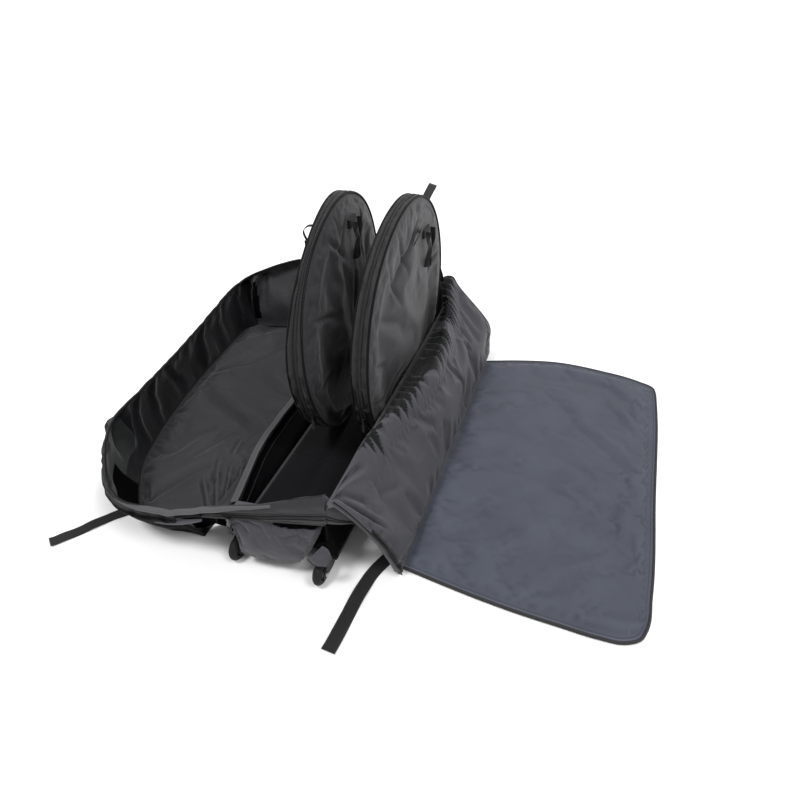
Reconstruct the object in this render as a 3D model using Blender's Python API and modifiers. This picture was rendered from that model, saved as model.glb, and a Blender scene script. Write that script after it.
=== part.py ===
"""Soft bike travel bag, standing open, as separate sub-parts.

Metres, +Z up. X runs across the bag, Y along it, from the wheels at -Y to the foot at Y 0.
The origin is the middle of the foot's underside, which stands on the floor.
"""

import math

import bmesh
import bpy
import numpy as np
from mathutils import Matrix, Vector

# Fits and general values
CLEARANCE = 0.0003  # between pieces that touch
RUNNING_GAP = 0.0008  # between pieces that turn or slide
OVERRUN = 0.004  # how far a cutter passes the face it cuts

# Base: tray, board and pad
WHEELBASE = 1.10  # wheel axle to the middle of the foot
TRACK = 0.256  # between the middles of the wheels
BASE_MARGIN = 0.028  # middle of a wheel to the board's side
NEAR_SETBACK = 0.046  # wheel axle to the board's near edge
FAR_OVERHANG = 0.085  # foot to the board's far edge
TRAY_HEIGHT = 0.0440  # floor to the tray's underside
TRAY_THICKNESS = 0.003
RIB_DEPTH = 0.006
RIB_WIDTH = 0.014
RIB_PITCH = 0.085
BOARD_THICKNESS = 0.008
BOARD_CORNER = 0.025
BASE_PAD_THICKNESS = 0.010

# Foot
FOOT_LENGTH = 0.230
FOOT_WIDTH = 0.044
FOOT_EDGE = 0.006

# Wheels, their housings and axles
WHEEL_RADIUS = 0.036
WHEEL_WIDTH = 0.024
TYRE_DEPTH = 0.011
TYRE_CROWN = 0.007  # how far the tread's shoulders fall below its middle
HUB_RECESS = 0.0035
BEARING_RADIUS = 0.011
BEARING_WIDTH = 0.018
AXLE_RADIUS = 0.0040
AXLE_HEAD_RADIUS = 0.0075
AXLE_HEAD_HEIGHT = 0.0035
CHEEK_THICKNESS = 0.004
CHEEK_GAP = 0.0015
CHEEK_RADIUS = 0.0145
HOUSING_ROOF = 0.004
HOUSING_TONGUE = 0.060

# Soft walls of the base
WALL_THICKNESS = 0.012
SIDE_WALL_HEIGHT = 0.230
SIDE_WALL_LEAN = 0.013
FAR_WALL_HEIGHT = 0.420
ARCH_SPRING_SHARE = 0.62  # of its height, where the far wall's sides turn into its arch
END_PANEL_BULGE = 0.030
STRIP_THICKNESS = 0.012
STRIP_OVERLAP = 0.044  # past the board's left side
TRACK_RADIUS = 0.0026  # the main zip's coil
GUSSET_THICKNESS = 0.008

# Padded rim on the channel's left side
RIM_PAD_WIDTH = 0.105
RIM_PAD_HEIGHT = 0.106
RIM_PIPING_RADIUS = 0.0035

# Right wall that lies over as a sloping shoulder
SHOULDER_THICKNESS = 0.018
SHOULDER_REACH = 0.172  # hinge line to the lid's seam, across
RIDGE_RISE = 0.050
SHOULDER_END = 0.018  # past the board's far edge
SHOULDER_NEAR_SETBACK = 0.090  # the near edge runs back towards its foot
SHOULDER_FAR_SETBACK = 0.038  # and so does the far edge
PIPING_RADIUS = 0.0030

# Lid panel
LID_WIDTH = 0.658
LID_LENGTH = 1.230
LID_THICKNESS = 0.014
LID_BINDING_RADIUS = 0.0045

# Left half shell
SHELL_WIDTH = 0.487
SHELL_LENGTH = 1.165
SHELL_FLOOR_THICKNESS = 0.012
SHELL_WALL_THICKNESS = 0.010
SHELL_HEIGHT = 0.255
SHELL_LEAN = 0.190  # widest outward lean of its walls, at the far side
SHELL_LIP = 0.057  # how far the near wall's top runs on past the hinge line
RIM_ZIP_RADIUS = 0.0045

# Webbing
STRAP_WIDTH = 0.038
STRAP_THICKNESS = 0.0020
LEFT_STRAP_LENGTH = 0.260
RIGHT_STRAP_LENGTH = 0.376
LEFT_STRAP_DEGREES = 233.0  # the way it points on the floor
TAB_WIDTH = 0.025

# Wheel bags
BAG_RADIUS = 0.370
BAG_WIDTH = 0.058
BAG_DOME = 0.012
BAG_SPACING = 0.185  # between the two bags' middle planes
BAG_SIDE_GAP = 0.006
BAG_FAR_GAP = 0.088
LEFT_BAG_TURN = 6.4
LEFT_BAG_SHIFT = 0.038
GUSSET_RING = 0.004
ZIP_WIDTH = 0.014
ZIP_HEIGHT = 0.0012
HANDLE_WIDTH = 0.022
HANDLE_SPAN = 0.045
HANDLE_DROP = 0.110

# Zip sliders and pulls
SLIDER_LENGTH = 0.014
SLIDER_WIDTH = 0.010
SLIDER_HEIGHT = 0.004
PULL_LENGTH = 0.042
PULL_WIDTH = 0.009
PULL_THICKNESS = 0.0025
SLIDER_DEGREES = 118.0  # from a wheel bag's top towards its near side
MAIN_PULL_LENGTH = 0.055
MAIN_PULL_RADIUS = 0.0024
MAIN_SLIDER_INSET = 0.021  # from the left wheel's middle towards the base's middle
TOP_LOOP_DEGREES = -41.0
TOP_LOOP_LENGTH = 0.062

# Heights and places that follow from the sizes above
AXLE_Y = -WHEELBASE
BOARD_NEAR = AXLE_Y + NEAR_SETBACK
BOARD_FAR = FAR_OVERHANG
BOARD_LENGTH = BOARD_FAR - BOARD_NEAR
BOARD_MIDDLE = (BOARD_FAR + BOARD_NEAR) / 2
BOARD_BOTTOM = TRAY_HEIGHT + TRAY_THICKNESS + CLEARANCE
BOARD_TOP = BOARD_BOTTOM + BOARD_THICKNESS
PAD_BOTTOM = BOARD_TOP + CLEARANCE
PAD_TOP = PAD_BOTTOM + BASE_PAD_THICKNESS
HALF_BASE = TRACK / 2 + BASE_MARGIN
STRIP_LEFT_REACH = HALF_BASE + STRIP_OVERLAP
WALL_FOOT = BOARD_TOP + CLEARANCE
SIDE_WALL_INNER = HALF_BASE - WALL_THICKNESS
SIDE_WALL_TOP = WALL_FOOT + SIDE_WALL_HEIGHT
FAR_WALL_INNER = BOARD_FAR - WALL_THICKNESS
WALL_END = FAR_WALL_INNER - CLEARANCE
SHOULDER_HINGE_X = SIDE_WALL_INNER + SIDE_WALL_LEAN
SHOULDER_HINGE_Z = SIDE_WALL_TOP + RUNNING_GAP
LID_HINGE_X = SHOULDER_HINGE_X + SHOULDER_REACH
LID_HINGE_Z = LID_THICKNESS
RIM_PAD_RIGHT = -HALF_BASE - CLEARANCE
RIM_PAD_LEFT = RIM_PAD_RIGHT - RIM_PAD_WIDTH
SHELL_HINGE_X = RIM_PAD_LEFT - RUNNING_GAP
SHELL_HINGE_Z = SHELL_FLOOR_THICKNESS
RIGHT_BAG_X = SIDE_WALL_INNER - BAG_SIDE_GAP - BAG_WIDTH / 2
LEFT_BAG_X = RIGHT_BAG_X - BAG_SPACING
BAG_Y = FAR_WALL_INNER - BAG_FAR_GAP - BAG_RADIUS
BAG_Z = PAD_TOP + 2 * CLEARANCE + ZIP_HEIGHT + BAG_RADIUS

PARTS = None
CUTTERS = None


def new_collection(name):
    found = bpy.data.collections.new(name)
    bpy.context.scene.collection.children.link(found)
    return found


def clear_scene():
    for old in list(bpy.data.objects):
        bpy.data.objects.remove(old, do_unlink=True)


def material(name, colour, roughness, metallic=0.0):
    made = bpy.data.materials.new(name)
    made.use_nodes = True
    shader = made.node_tree.nodes["Principled BSDF"]
    shader.inputs["Base Color"].default_value = (*colour, 1.0)
    shader.inputs["Roughness"].default_value = roughness
    shader.inputs["Metallic"].default_value = metallic
    return made


BLACK = (0.012, 0.012, 0.013)
DARK = (0.030, 0.030, 0.033)
GREY = (0.075, 0.075, 0.080)
BLUE_GREY = (0.100, 0.110, 0.130)
STEEL = (0.550, 0.550, 0.560)


def place(obj, name, colour, roughness=0.8, metallic=0.0):
    """Puts a finished object in the parts' collection with its own material."""
    obj.name = name
    if obj.data is not None:
        obj.data.name = name
    for old in list(obj.users_collection):
        old.objects.unlink(obj)
    PARTS.objects.link(obj)
    obj.data.materials.clear()
    obj.data.materials.append(material(name, colour, roughness, metallic))
    return obj


def cutter(obj, name):
    obj.name = name
    obj.hide_render = True
    obj.display_type = "WIRE"
    for old in list(obj.users_collection):
        old.objects.unlink(obj)
    CUTTERS.objects.link(obj)
    return obj


def mesh_object(build):
    """A new mesh object filled by a function that works on its bmesh."""
    data = bpy.data.meshes.new("mesh")
    bm = bmesh.new()
    build(bm)
    bmesh.ops.recalc_face_normals(bm, faces=bm.faces)
    bm.to_mesh(data)
    bm.free()
    obj = bpy.data.objects.new("object", data)
    bpy.context.scene.collection.objects.link(obj)
    return obj


def box(size, centre):
    def build(bm):
        bmesh.ops.create_cube(bm, size=1.0)
        bmesh.ops.scale(bm, vec=Vector(size), verts=bm.verts)
    obj = mesh_object(build)
    obj.location = centre
    return obj


def cylinder(radius, length, centre, segments=32):
    """A cylinder that lies along X."""
    def build(bm):
        bmesh.ops.create_cone(
            bm, cap_ends=True, segments=segments, radius1=radius, radius2=radius, depth=length
        )
    obj = mesh_object(build)
    obj.rotation_euler = (0.0, math.pi / 2, 0.0)
    obj.location = centre
    return obj


def bevel(obj, width, segments=2, degrees=40):
    step = obj.modifiers.new("Bevel", "BEVEL")
    step.width = width
    step.segments = segments
    step.limit_method = "ANGLE"
    step.angle_limit = math.radians(degrees)
    return obj


def boolean(obj, other, operation="DIFFERENCE"):
    step = obj.modifiers.new(operation.title(), "BOOLEAN")
    step.operation = operation
    step.solver = "EXACT"
    step.object = other
    return obj


def winding(points):
    """Twice the signed area of a closed outline."""
    ahead = points[1:] + points[:1]
    return sum(a[0] * b[1] - b[0] * a[1] for a, b in zip(points, ahead))


def turned(profile, segments=64, axis="X"):
    """A profile of (radius, along) turned about its axis, as a closed body."""
    if winding(profile) > 0.0:  # the outer side runs from top to bottom
        profile = list(reversed(profile))
    data = bpy.data.meshes.new("profile")
    bm = bmesh.new()
    verts = [bm.verts.new((radius, 0.0, along)) for radius, along in profile]
    for first, second in zip(verts, verts[1:]):
        bm.edges.new((first, second))
    if min(radius for radius, _ in profile) > 0.0:
        bm.edges.new((verts[-1], verts[0]))
    bm.to_mesh(data)
    bm.free()
    obj = bpy.data.objects.new("turned", data)
    bpy.context.scene.collection.objects.link(obj)
    step = obj.modifiers.new("Screw", "SCREW")
    step.axis = "Z"
    step.steps = segments
    step.render_steps = segments
    step.use_merge_vertices = True
    step.merge_threshold = CLEARANCE / 10
    if axis == "X":
        obj.rotation_euler = (0.0, math.pi / 2, 0.0)
    return obj


def plate(points, thickness, normal="Z"):
    """A flat outline of (u, v) points filled and thickened equally both ways."""
    curve = bpy.data.curves.new("outline", "CURVE")
    curve.dimensions = "2D"
    curve.fill_mode = "BOTH"
    curve.extrude = thickness / 2
    spline = curve.splines.new("POLY")
    spline.points.add(len(points) - 1)
    for point, (u, v) in zip(spline.points, points):
        point.co = (u, v, 0.0, 1.0)
    spline.use_cyclic_u = True
    obj = bpy.data.objects.new("plate", curve)
    bpy.context.scene.collection.objects.link(obj)
    if normal == "Y":  # u runs along X and v along Z
        obj.rotation_euler = (math.pi / 2, 0.0, 0.0)
    if normal == "X":  # u runs along Y and v along Z
        obj.rotation_euler = (math.pi / 2, 0.0, math.pi / 2)
    return obj


def as_mesh(obj):
    """The curve object made a mesh with welded caps, so that it takes Booleans."""
    depsgraph = bpy.context.evaluated_depsgraph_get()
    data = bpy.data.meshes.new_from_object(obj.evaluated_get(depsgraph))
    bm = bmesh.new()
    bm.from_mesh(data)
    bmesh.ops.remove_doubles(bm, verts=bm.verts, dist=CLEARANCE / 10)
    bmesh.ops.recalc_face_normals(bm, faces=bm.faces)
    bm.to_mesh(data)
    bm.free()
    made = bpy.data.objects.new("mesh", data)
    bpy.context.scene.collection.objects.link(made)
    made.matrix_world = obj.matrix_world
    bpy.data.objects.remove(obj, do_unlink=True)
    return made


def tube(points, radius, resolution=2, cyclic=False):
    curve = bpy.data.curves.new("tube", "CURVE")
    curve.dimensions = "3D"
    curve.bevel_depth = radius
    curve.bevel_resolution = resolution
    curve.use_fill_caps = not cyclic
    spline = curve.splines.new("POLY")
    spline.points.add(len(points) - 1)
    for point, co in zip(spline.points, points):
        point.co = (*co, 1.0)
    spline.use_cyclic_u = cyclic
    obj = bpy.data.objects.new("tube", curve)
    bpy.context.scene.collection.objects.link(obj)
    return obj


def loft(sections):
    """A closed body through sections of equally many points, capped at both ends."""
    def build(bm):
        rings = [[bm.verts.new(p) for p in section] for section in sections]
        for ring, after in zip(rings, rings[1:]):
            for i in range(len(ring)):
                j = (i + 1) % len(ring)
                bm.faces.new((ring[i], ring[j], after[j], after[i]))
        bm.faces.new(rings[0])
        bm.faces.new(list(reversed(rings[-1])))
    return mesh_object(build)


def ribbon(path, across, width, thickness):
    """A strip of webbing: an open surface along a path, thickened evenly by Solidify."""
    half = [Vector(a).normalized() * (width / 2) for a in across]

    def build(bm):
        left = [bm.verts.new(Vector(p) - h) for p, h in zip(path, half)]
        right = [bm.verts.new(Vector(p) + h) for p, h in zip(path, half)]
        for i in range(len(path) - 1):
            bm.faces.new((left[i], right[i], right[i + 1], left[i + 1]))
    obj = mesh_object(build)
    step = obj.modifiers.new("Solidify", "SOLIDIFY")
    step.thickness = thickness
    step.offset = 0.0
    step.use_even_offset = True
    return obj


def spread(table, at):
    """Reads a table of rows (place, value, value...) at a place, by straight lines."""
    rows = np.array(table)
    return [float(np.interp(at, rows[:, 0], rows[:, k])) for k in range(1, rows.shape[1])]


def smooth_path(points, count, closed=False):
    """Points along a Catmull-Rom curve through the given ones."""
    points = [Vector(p) for p in points]
    n = len(points)
    spans = n if closed else n - 1
    made = []
    for k in range(count):
        at = k * spans / (count if closed else count - 1)
        i = min(int(at), spans - 1)
        t = at - i

        def near(j):
            return points[j % n] if closed else points[min(max(j, 0), n - 1)]

        a, b, c, d = near(i - 1), near(i), near(i + 1), near(i + 2)
        made.append(
            0.5 * (2 * b + (c - a) * t + (2 * a - 5 * b + 4 * c - d) * t**2
                   + (3 * b - a - 3 * c + d) * t**3)
        )
    return made


# Base: moulded tray, stiffening board, padding and foot

def rounded_outline(half_x, low_y, high_y, radius, steps=5):
    """A rectangle about X 0 with rounded corners, anticlockwise."""
    corners = [
        (half_x - radius, low_y + radius, -math.pi / 2),
        (half_x - radius, high_y - radius, 0.0),
        (-half_x + radius, high_y - radius, math.pi / 2),
        (-half_x + radius, low_y + radius, math.pi),
    ]
    points = []
    for x, y, start in corners:
        for k in range(steps + 1):
            turn = start + k * math.pi / 2 / steps
            points.append((x + radius * math.cos(turn), y + radius * math.sin(turn)))
    return points


def make_tray():
    """Moulded skid tray: a plate with three ribs beneath that run its whole length."""
    bottom = TRAY_HEIGHT - RIB_DEPTH
    top = TRAY_HEIGHT + TRAY_THICKNESS
    outline = [(HALF_BASE, top), (-HALF_BASE, top), (-HALF_BASE, TRAY_HEIGHT)]
    for k in (-1, 0, 1):
        middle = k * RIB_PITCH
        outline += [
            (middle - RIB_WIDTH / 2, TRAY_HEIGHT),
            (middle - RIB_WIDTH / 4, bottom),
            (middle + RIB_WIDTH / 4, bottom),
            (middle + RIB_WIDTH / 2, TRAY_HEIGHT),
        ]
    outline.append((HALF_BASE, TRAY_HEIGHT))
    obj = plate(outline, BOARD_LENGTH, normal="Y")
    obj.location = (0.0, BOARD_MIDDLE, 0.0)
    place(obj, "skid_tray", BLACK, 0.5)


def make_board():
    outline = rounded_outline(HALF_BASE, BOARD_NEAR, BOARD_FAR, BOARD_CORNER)
    obj = plate(outline, BOARD_THICKNESS)
    obj.location = (0.0, 0.0, BOARD_BOTTOM + BOARD_THICKNESS / 2)
    place(obj, "base_board", DARK, 0.6)


def make_base_pad():
    half = SIDE_WALL_INNER - CLEARANCE
    outline = rounded_outline(half, BOARD_NEAR + WALL_THICKNESS, WALL_END, BOARD_CORNER)
    obj = plate(outline, BASE_PAD_THICKNESS)
    obj.location = (0.0, 0.0, PAD_BOTTOM + BASE_PAD_THICKNESS / 2)
    place(obj, "base_pad", BLACK)


def make_foot():
    """Full-width rubber foot with chamfered edges, under the tray's ribs."""
    height = TRAY_HEIGHT - RIB_DEPTH - CLEARANCE
    obj = box((FOOT_LENGTH, FOOT_WIDTH, height), (0.0, 0.0, height / 2))
    bevel(obj, FOOT_EDGE, 2)
    place(obj, "rear_foot", BLACK, 0.6)


# Wheels

def make_wheel(side, name):
    """Tyre, hub and bearing, each turned about the axle."""
    centre = (side * TRACK / 2, AXLE_Y, WHEEL_RADIUS)
    half = WHEEL_WIDTH / 2
    inner = WHEEL_RADIUS - TYRE_DEPTH
    shoulder = WHEEL_RADIUS - TYRE_CROWN
    tyre = turned([
        (inner, -half * 0.9), (shoulder, -half), (shoulder + TYRE_CROWN * 0.7, -half * 0.6),
        (WHEEL_RADIUS, -half * 0.22), (WHEEL_RADIUS, half * 0.22),
        (shoulder + TYRE_CROWN * 0.7, half * 0.6), (shoulder, half), (inner, half * 0.9),
    ], 32)
    tyre.location = centre
    place(tyre, name + "_tyre", BLACK, 0.7)

    rim = inner - CLEARANCE
    web = half - HUB_RECESS
    boss = BEARING_RADIUS + CLEARANCE
    hub = turned([
        (boss, -web), (boss * 1.35, -web), (rim * 0.72, -web * 0.45), (rim * 0.86, -half * 0.85),
        (rim, -half * 0.85), (rim, half * 0.85), (rim * 0.86, half * 0.85),
        (rim * 0.72, web * 0.45), (boss * 1.35, web), (boss, web),
    ], 32)
    hub.location = centre
    place(hub, name + "_hub", DARK, 0.5)

    bore = AXLE_RADIUS + CLEARANCE
    length = BEARING_WIDTH / 2
    bearing = turned([
        (bore, -length), (BEARING_RADIUS, -length), (BEARING_RADIUS, length), (bore, length),
    ], 24)
    bearing.location = centre
    place(bearing, name + "_bearing", STEEL, 0.3, 1.0)


def make_housing(side, name):
    """Moulded housing: two cheeks round the wheel, joined behind it by a web and a tongue."""
    centre = side * TRACK / 2
    inner = WHEEL_WIDTH / 2 + CHEEK_GAP
    width = 2 * (inner + CHEEK_THICKNESS)
    top = TRAY_HEIGHT - CLEARANCE
    back = BOARD_NEAR + HOUSING_TONGUE
    low = WHEEL_RADIUS - CHEEK_RADIUS
    arc = [
        (AXLE_Y + CHEEK_RADIUS * math.cos(math.radians(turn)),
         WHEEL_RADIUS + CHEEK_RADIUS * math.sin(math.radians(turn)))
        for turn in range(100, 281, 20)
    ]
    shelf = top - HOUSING_ROOF
    well = WHEEL_RADIUS + 2 * CHEEK_GAP
    web_top = WHEEL_RADIUS + WHEEL_RADIUS * 0.9
    outline = [
        (back, top), (BOARD_NEAR - CLEARANCE, top), (BOARD_NEAR - CLEARANCE, web_top),
        (AXLE_Y + well * 0.8, web_top),
    ] + arc + [(AXLE_Y + well + HOUSING_ROOF, low), (back, shelf)]
    obj = as_mesh(plate(outline, width, normal="X"))
    obj.location = (centre, 0.0, 0.0)
    hollow = cutter(
        cylinder(well, 2 * inner, (centre, AXLE_Y, WHEEL_RADIUS), segments=40), name + "_well")
    bore = cutter(
        cylinder(AXLE_RADIUS + CLEARANCE, width + OVERRUN, (centre, AXLE_Y, WHEEL_RADIUS)),
        name + "_axle_hole")
    boolean(obj, hollow)
    boolean(obj, bore)
    place(obj, name + "_housing", BLACK, 0.5)


def make_axle(side, name):
    """Shouldered axle bolt through the cheeks and the bearing, with a low head outside."""
    reach = WHEEL_WIDTH / 2 + CHEEK_GAP + CHEEK_THICKNESS
    head = reach + CLEARANCE
    obj = turned([
        (0.0, -reach), (AXLE_RADIUS, -reach), (AXLE_RADIUS, head), (AXLE_HEAD_RADIUS, head),
        (AXLE_HEAD_RADIUS, head + AXLE_HEAD_HEIGHT * 0.5),
        (AXLE_HEAD_RADIUS * 0.7, head + AXLE_HEAD_HEIGHT), (0.0, head + AXLE_HEAD_HEIGHT),
    ], 24)
    if side < 0:
        obj.rotation_euler = (0.0, -math.pi / 2, 0.0)
    obj.location = (side * TRACK / 2, AXLE_Y, WHEEL_RADIUS)
    place(obj, name + "_axle_bolt", STEEL, 0.35, 1.0)


# Near end: bulging panel, corner gussets, the strip that carries the zip, and the zip

STRIP_RIGHT_REACH = SHOULDER_HINGE_X - RUNNING_GAP
STRIP_SPAN = STRIP_LEFT_REACH + STRIP_RIGHT_REACH
STRIP_BASE = PAD_TOP + 0.62 * SIDE_WALL_HEIGHT  # its lower edge over the middle of the base
STRIP_SLOPE = 0.15  # the strip rises towards the right wall
STRIP_HEIGHT_SHARES = [(0.0, 0.12), (0.28, 0.19), (0.5, 0.225), (0.83, 0.345), (1.0, 0.41)]
STRIP_FRONT = AXLE_Y - NEAR_SETBACK * 0.22
STRIP_YAW = 0.115


def strip_bottom(x):
    return STRIP_BASE + STRIP_SLOPE * x


def strip_top(x):
    share = (x + STRIP_LEFT_REACH) / STRIP_SPAN
    return strip_bottom(x) + spread(STRIP_HEIGHT_SHARES, share)[0] * SIDE_WALL_HEIGHT


def strip_front(x):
    """The strip's front face lies nearer the viewer on the left, where it meets the shell."""
    return STRIP_FRONT + STRIP_YAW * x


def make_end_strip():
    stations = [-STRIP_LEFT_REACH + k * STRIP_SPAN / 10 for k in range(11)]
    sections = []
    for x in stations:
        front, low, high = strip_front(x), strip_bottom(x), strip_top(x)
        back = front + STRIP_THICKNESS
        edge = STRIP_THICKNESS * 0.3
        sections.append([
            (x, front, low), (x, back, low), (x, back, high - edge), (x, back - edge, high),
            (x, front + edge, high), (x, front, high - edge),
        ])
    obj = loft(sections)
    place(obj, "near_end_strip", GREY)


def make_end_panel():
    """Bulging soft panel between the wheel housings, from the tray up to the strip."""
    half = TRACK / 2 - WHEEL_WIDTH / 2 - CHEEK_GAP - CHEEK_THICKNESS - 10 * CLEARANCE
    low = TRAY_HEIGHT - RIB_DEPTH
    sections = []
    for k in range(11):
        x = -half + 2 * half * k / 10
        high = strip_bottom(x) - CLEARANCE
        round_off = 1.0 - abs(x / half) ** 4
        ring_front, ring_back = [], []
        for j in range(6):
            t = j / 5
            z = low + (high - low) * t
            back = BOARD_NEAR - CLEARANCE - WALL_THICKNESS * 0.5 * t
            swell = math.sin(math.pi * (0.15 + 0.85 * t)) * (0.4 + 0.6 * round_off)
            front = strip_front(x) + STRIP_THICKNESS * 0.2 - END_PANEL_BULGE * 0.45 * swell
            ring_front.append((x, front, z))
            ring_back.append((x, back, z))
        sections.append(ring_front + list(reversed(ring_back)))
    obj = loft(sections)
    place(obj, "near_end_panel", GREY)


def make_corner_gusset(side, name):
    """Dark panel that closes the corner above a wheel housing, beside the end panel."""
    outer = side * (HALF_BASE - GUSSET_THICKNESS / 2)
    foot = BOARD_TOP + 10 * CLEARANCE
    high = strip_bottom(outer - GUSSET_THICKNESS / 2) - CLEARANCE
    front = strip_front(outer) + STRIP_THICKNESS * 0.3
    back = BOARD_NEAR + NEAR_SETBACK * 1.2
    outline = [
        (BOARD_NEAR, foot), (back, foot), (back, foot + (high - foot) * 0.55),
        (front + NEAR_SETBACK * 0.6, high), (front, high), (front, high - (high - foot) * 0.25),
        (AXLE_Y + WHEEL_RADIUS * 0.6, foot + WHEEL_RADIUS * 0.75),
        (BOARD_NEAR - NEAR_SETBACK * 0.12, foot + WHEEL_RADIUS * 0.5),
    ]
    obj = plate(outline, GUSSET_THICKNESS, normal="X")
    obj.location = (outer, 0.0, 0.0)
    place(obj, name + "_corner_gusset", BLACK)


def main_zip_line(x):
    y = strip_front(x) - TRACK_RADIUS - CLEARANCE
    return Vector((x, y, strip_bottom(x) + 2 * TRACK_RADIUS))


def make_main_zip():
    points = [
        main_zip_line(-STRIP_LEFT_REACH + STRIP_SPAN * k / 14) for k in range(15)
    ]
    obj = tube(points, TRACK_RADIUS, 1)
    place(obj, "main_zip", BLACK)


def make_far_wall():
    """Far end wall of the channel, with an arched top."""
    half = HALF_BASE - BOARD_CORNER
    outline = [(half, WALL_FOOT), (half, WALL_FOOT + FAR_WALL_HEIGHT * ARCH_SPRING_SHARE)]
    for k in range(1, 8):
        turn = math.pi * k / 8
        outline.append((
            half * math.cos(turn),
            WALL_FOOT + FAR_WALL_HEIGHT
            * (ARCH_SPRING_SHARE + (1.0 - ARCH_SPRING_SHARE) * math.sin(turn)),
        ))
    outline += [(-half, WALL_FOOT + FAR_WALL_HEIGHT * ARCH_SPRING_SHARE), (-half, WALL_FOOT)]
    obj = plate(outline, WALL_THICKNESS, normal="Y")
    obj.location = (0.0, BOARD_FAR - WALL_THICKNESS / 2, 0.0)
    place(obj, "far_end_wall", DARK)


def make_side_wall():
    """Upstanding right wall of the channel, which leans out towards its top."""
    near = BOARD_NEAR + NEAR_SETBACK * 1.2 + CLEARANCE
    bottom = [SIDE_WALL_INNER, HALF_BASE]
    top = [v + SIDE_WALL_LEAN for v in bottom]
    sections = [
        [(bottom[0], y, WALL_FOOT), (bottom[1], y, WALL_FOOT),
         (top[1], y, SIDE_WALL_TOP), (top[0], y, SIDE_WALL_TOP)]
        for y in (near, BOARD_FAR - BOARD_CORNER)
    ]
    obj = loft(sections)
    bevel(obj, WALL_THICKNESS / 4, 2)
    place(obj, "right_side_wall", DARK)


# Left side of the channel: a padded rim with piping along its crest

RIM_CREST_SHARES = [
    (0.00, 0.22), (0.10, 0.50), (0.24, 0.80), (0.42, 0.82), (0.60, 0.78), (1.00, 0.74),
]
RIM_NEAR = AXLE_Y + 2 * NEAR_SETBACK


def rim_crest(share):
    across = spread(RIM_CREST_SHARES, share)[0]
    return RIM_PAD_RIGHT - RIM_PAD_WIDTH * across


def make_rim_pad():
    sections = []
    for k in range(13):
        share = k / 12
        y = RIM_NEAR + (WALL_END - RIM_NEAR) * share
        crest = rim_crest(share)
        left, right = RIM_PAD_LEFT, RIM_PAD_RIGHT
        high, low = RIM_PAD_HEIGHT, RIM_PAD_HEIGHT * 0.03
        cap = RIM_PAD_WIDTH * 0.07
        sections.append([
            (right, y, low), (right, y, TRAY_HEIGHT + BOARD_THICKNESS),
            (crest + cap * 1.6, y, high * 0.86), (crest + cap * 0.8, y, high * 0.97),
            (crest, y, high), (crest - cap * 0.8, y, high * 0.95),
            (left + (crest - left) * 0.5, y, high * 0.60), (left, y, high * 0.16), (left, y, low),
        ])
    obj = loft(sections)
    place(obj, "left_rim_pad", GREY)


def make_rim_piping():
    lift = RIM_PAD_HEIGHT + RIM_PIPING_RADIUS + CLEARANCE
    points = []
    for k in range(13):
        share = k / 12
        y = RIM_NEAR + (WALL_END - RIM_NEAR) * share
        points.append((rim_crest(share), y, lift))
    obj = tube(points, RIM_PIPING_RADIUS, 1)
    place(obj, "left_rim_piping", BLACK)


# Right wall: the sloping shoulder, its piping and its strap

SHOULDER_NEAR = STRIP_FRONT + STRIP_THICKNESS * 0.5
SHOULDER_FAR = BOARD_FAR + SHOULDER_END
RIDGE_REACH_SHARES = [(0.0, 0.16), (0.22, 0.16), (0.34, 0.38), (0.52, 0.56), (0.66, 0.50),
                      (0.82, 0.27), (1.0, 0.12)]
SWELL_SHARES = [(0.0, 0.00), (0.5, 0.06), (0.8, 0.12), (1.0, 0.35)]


def shoulder_section(share):
    """Outer face from the hinge line over the ridge to the foot, as (x, z), then back inside."""
    ridge = spread(RIDGE_REACH_SHARES, share)[0] * SHOULDER_REACH
    swell = spread(SWELL_SHARES, share)[0] * SHOULDER_REACH
    hinge_x, hinge_z = SHOULDER_HINGE_X, SHOULDER_HINGE_Z
    reach = SHOULDER_REACH - RUNNING_GAP
    drop = hinge_z - LID_THICKNESS
    thick = SHOULDER_THICKNESS
    outer = [
        (hinge_x + thick * 0.7, hinge_z + thick),
        (hinge_x + max(ridge * 0.55, thick * 0.5), hinge_z + RIDGE_RISE * 0.85),
        (hinge_x + max(ridge, thick), hinge_z + RIDGE_RISE),
        (hinge_x + ridge + (reach - ridge) * 0.30 + swell * 0.4, hinge_z - drop * 0.10),
        (hinge_x + ridge + (reach - ridge) * 0.62 + swell * 0.7, hinge_z - drop * 0.42),
        (hinge_x + reach * 0.94 + swell * 0.15, hinge_z - drop * 0.78),
        (hinge_x + reach, LID_THICKNESS + CLEARANCE),
    ]
    inner = []
    for k, (x, z) in enumerate(outer):
        before = Vector(outer[max(k - 1, 0)])
        after = Vector(outer[min(k + 1, len(outer) - 1)])
        along = (after - before).normalized()
        inner.append((x + along.y * thick, z - along.x * thick))
    inner[0] = (hinge_x, hinge_z)
    inner[1] = (max(inner[1][0], hinge_x + thick * 0.5), inner[1][1])
    return outer, inner


def fall_share(z):
    """How far down the shoulder's face a height lies: 0 at the ridge and 1 on the floor."""
    ridge = SHOULDER_HINGE_Z + RIDGE_RISE
    return max(0.0, (ridge - z) / ridge)


def make_shoulder():
    sections = []
    for k in range(13):
        share = k / 12
        y = SHOULDER_NEAR + (SHOULDER_FAR - SHOULDER_NEAR) * share
        outer, inner = shoulder_section(share)
        shear = SHOULDER_NEAR_SETBACK * max(0.0, 1.0 - share * 6) + SHOULDER_FAR_SETBACK * max(0.0, share * 6 - 5)
        sections.append([
            (x, y + shear * fall_share(z), z) for x, z in outer + list(reversed(inner))
        ])
    obj = loft(sections)
    place(obj, "right_shoulder", GREY)


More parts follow.
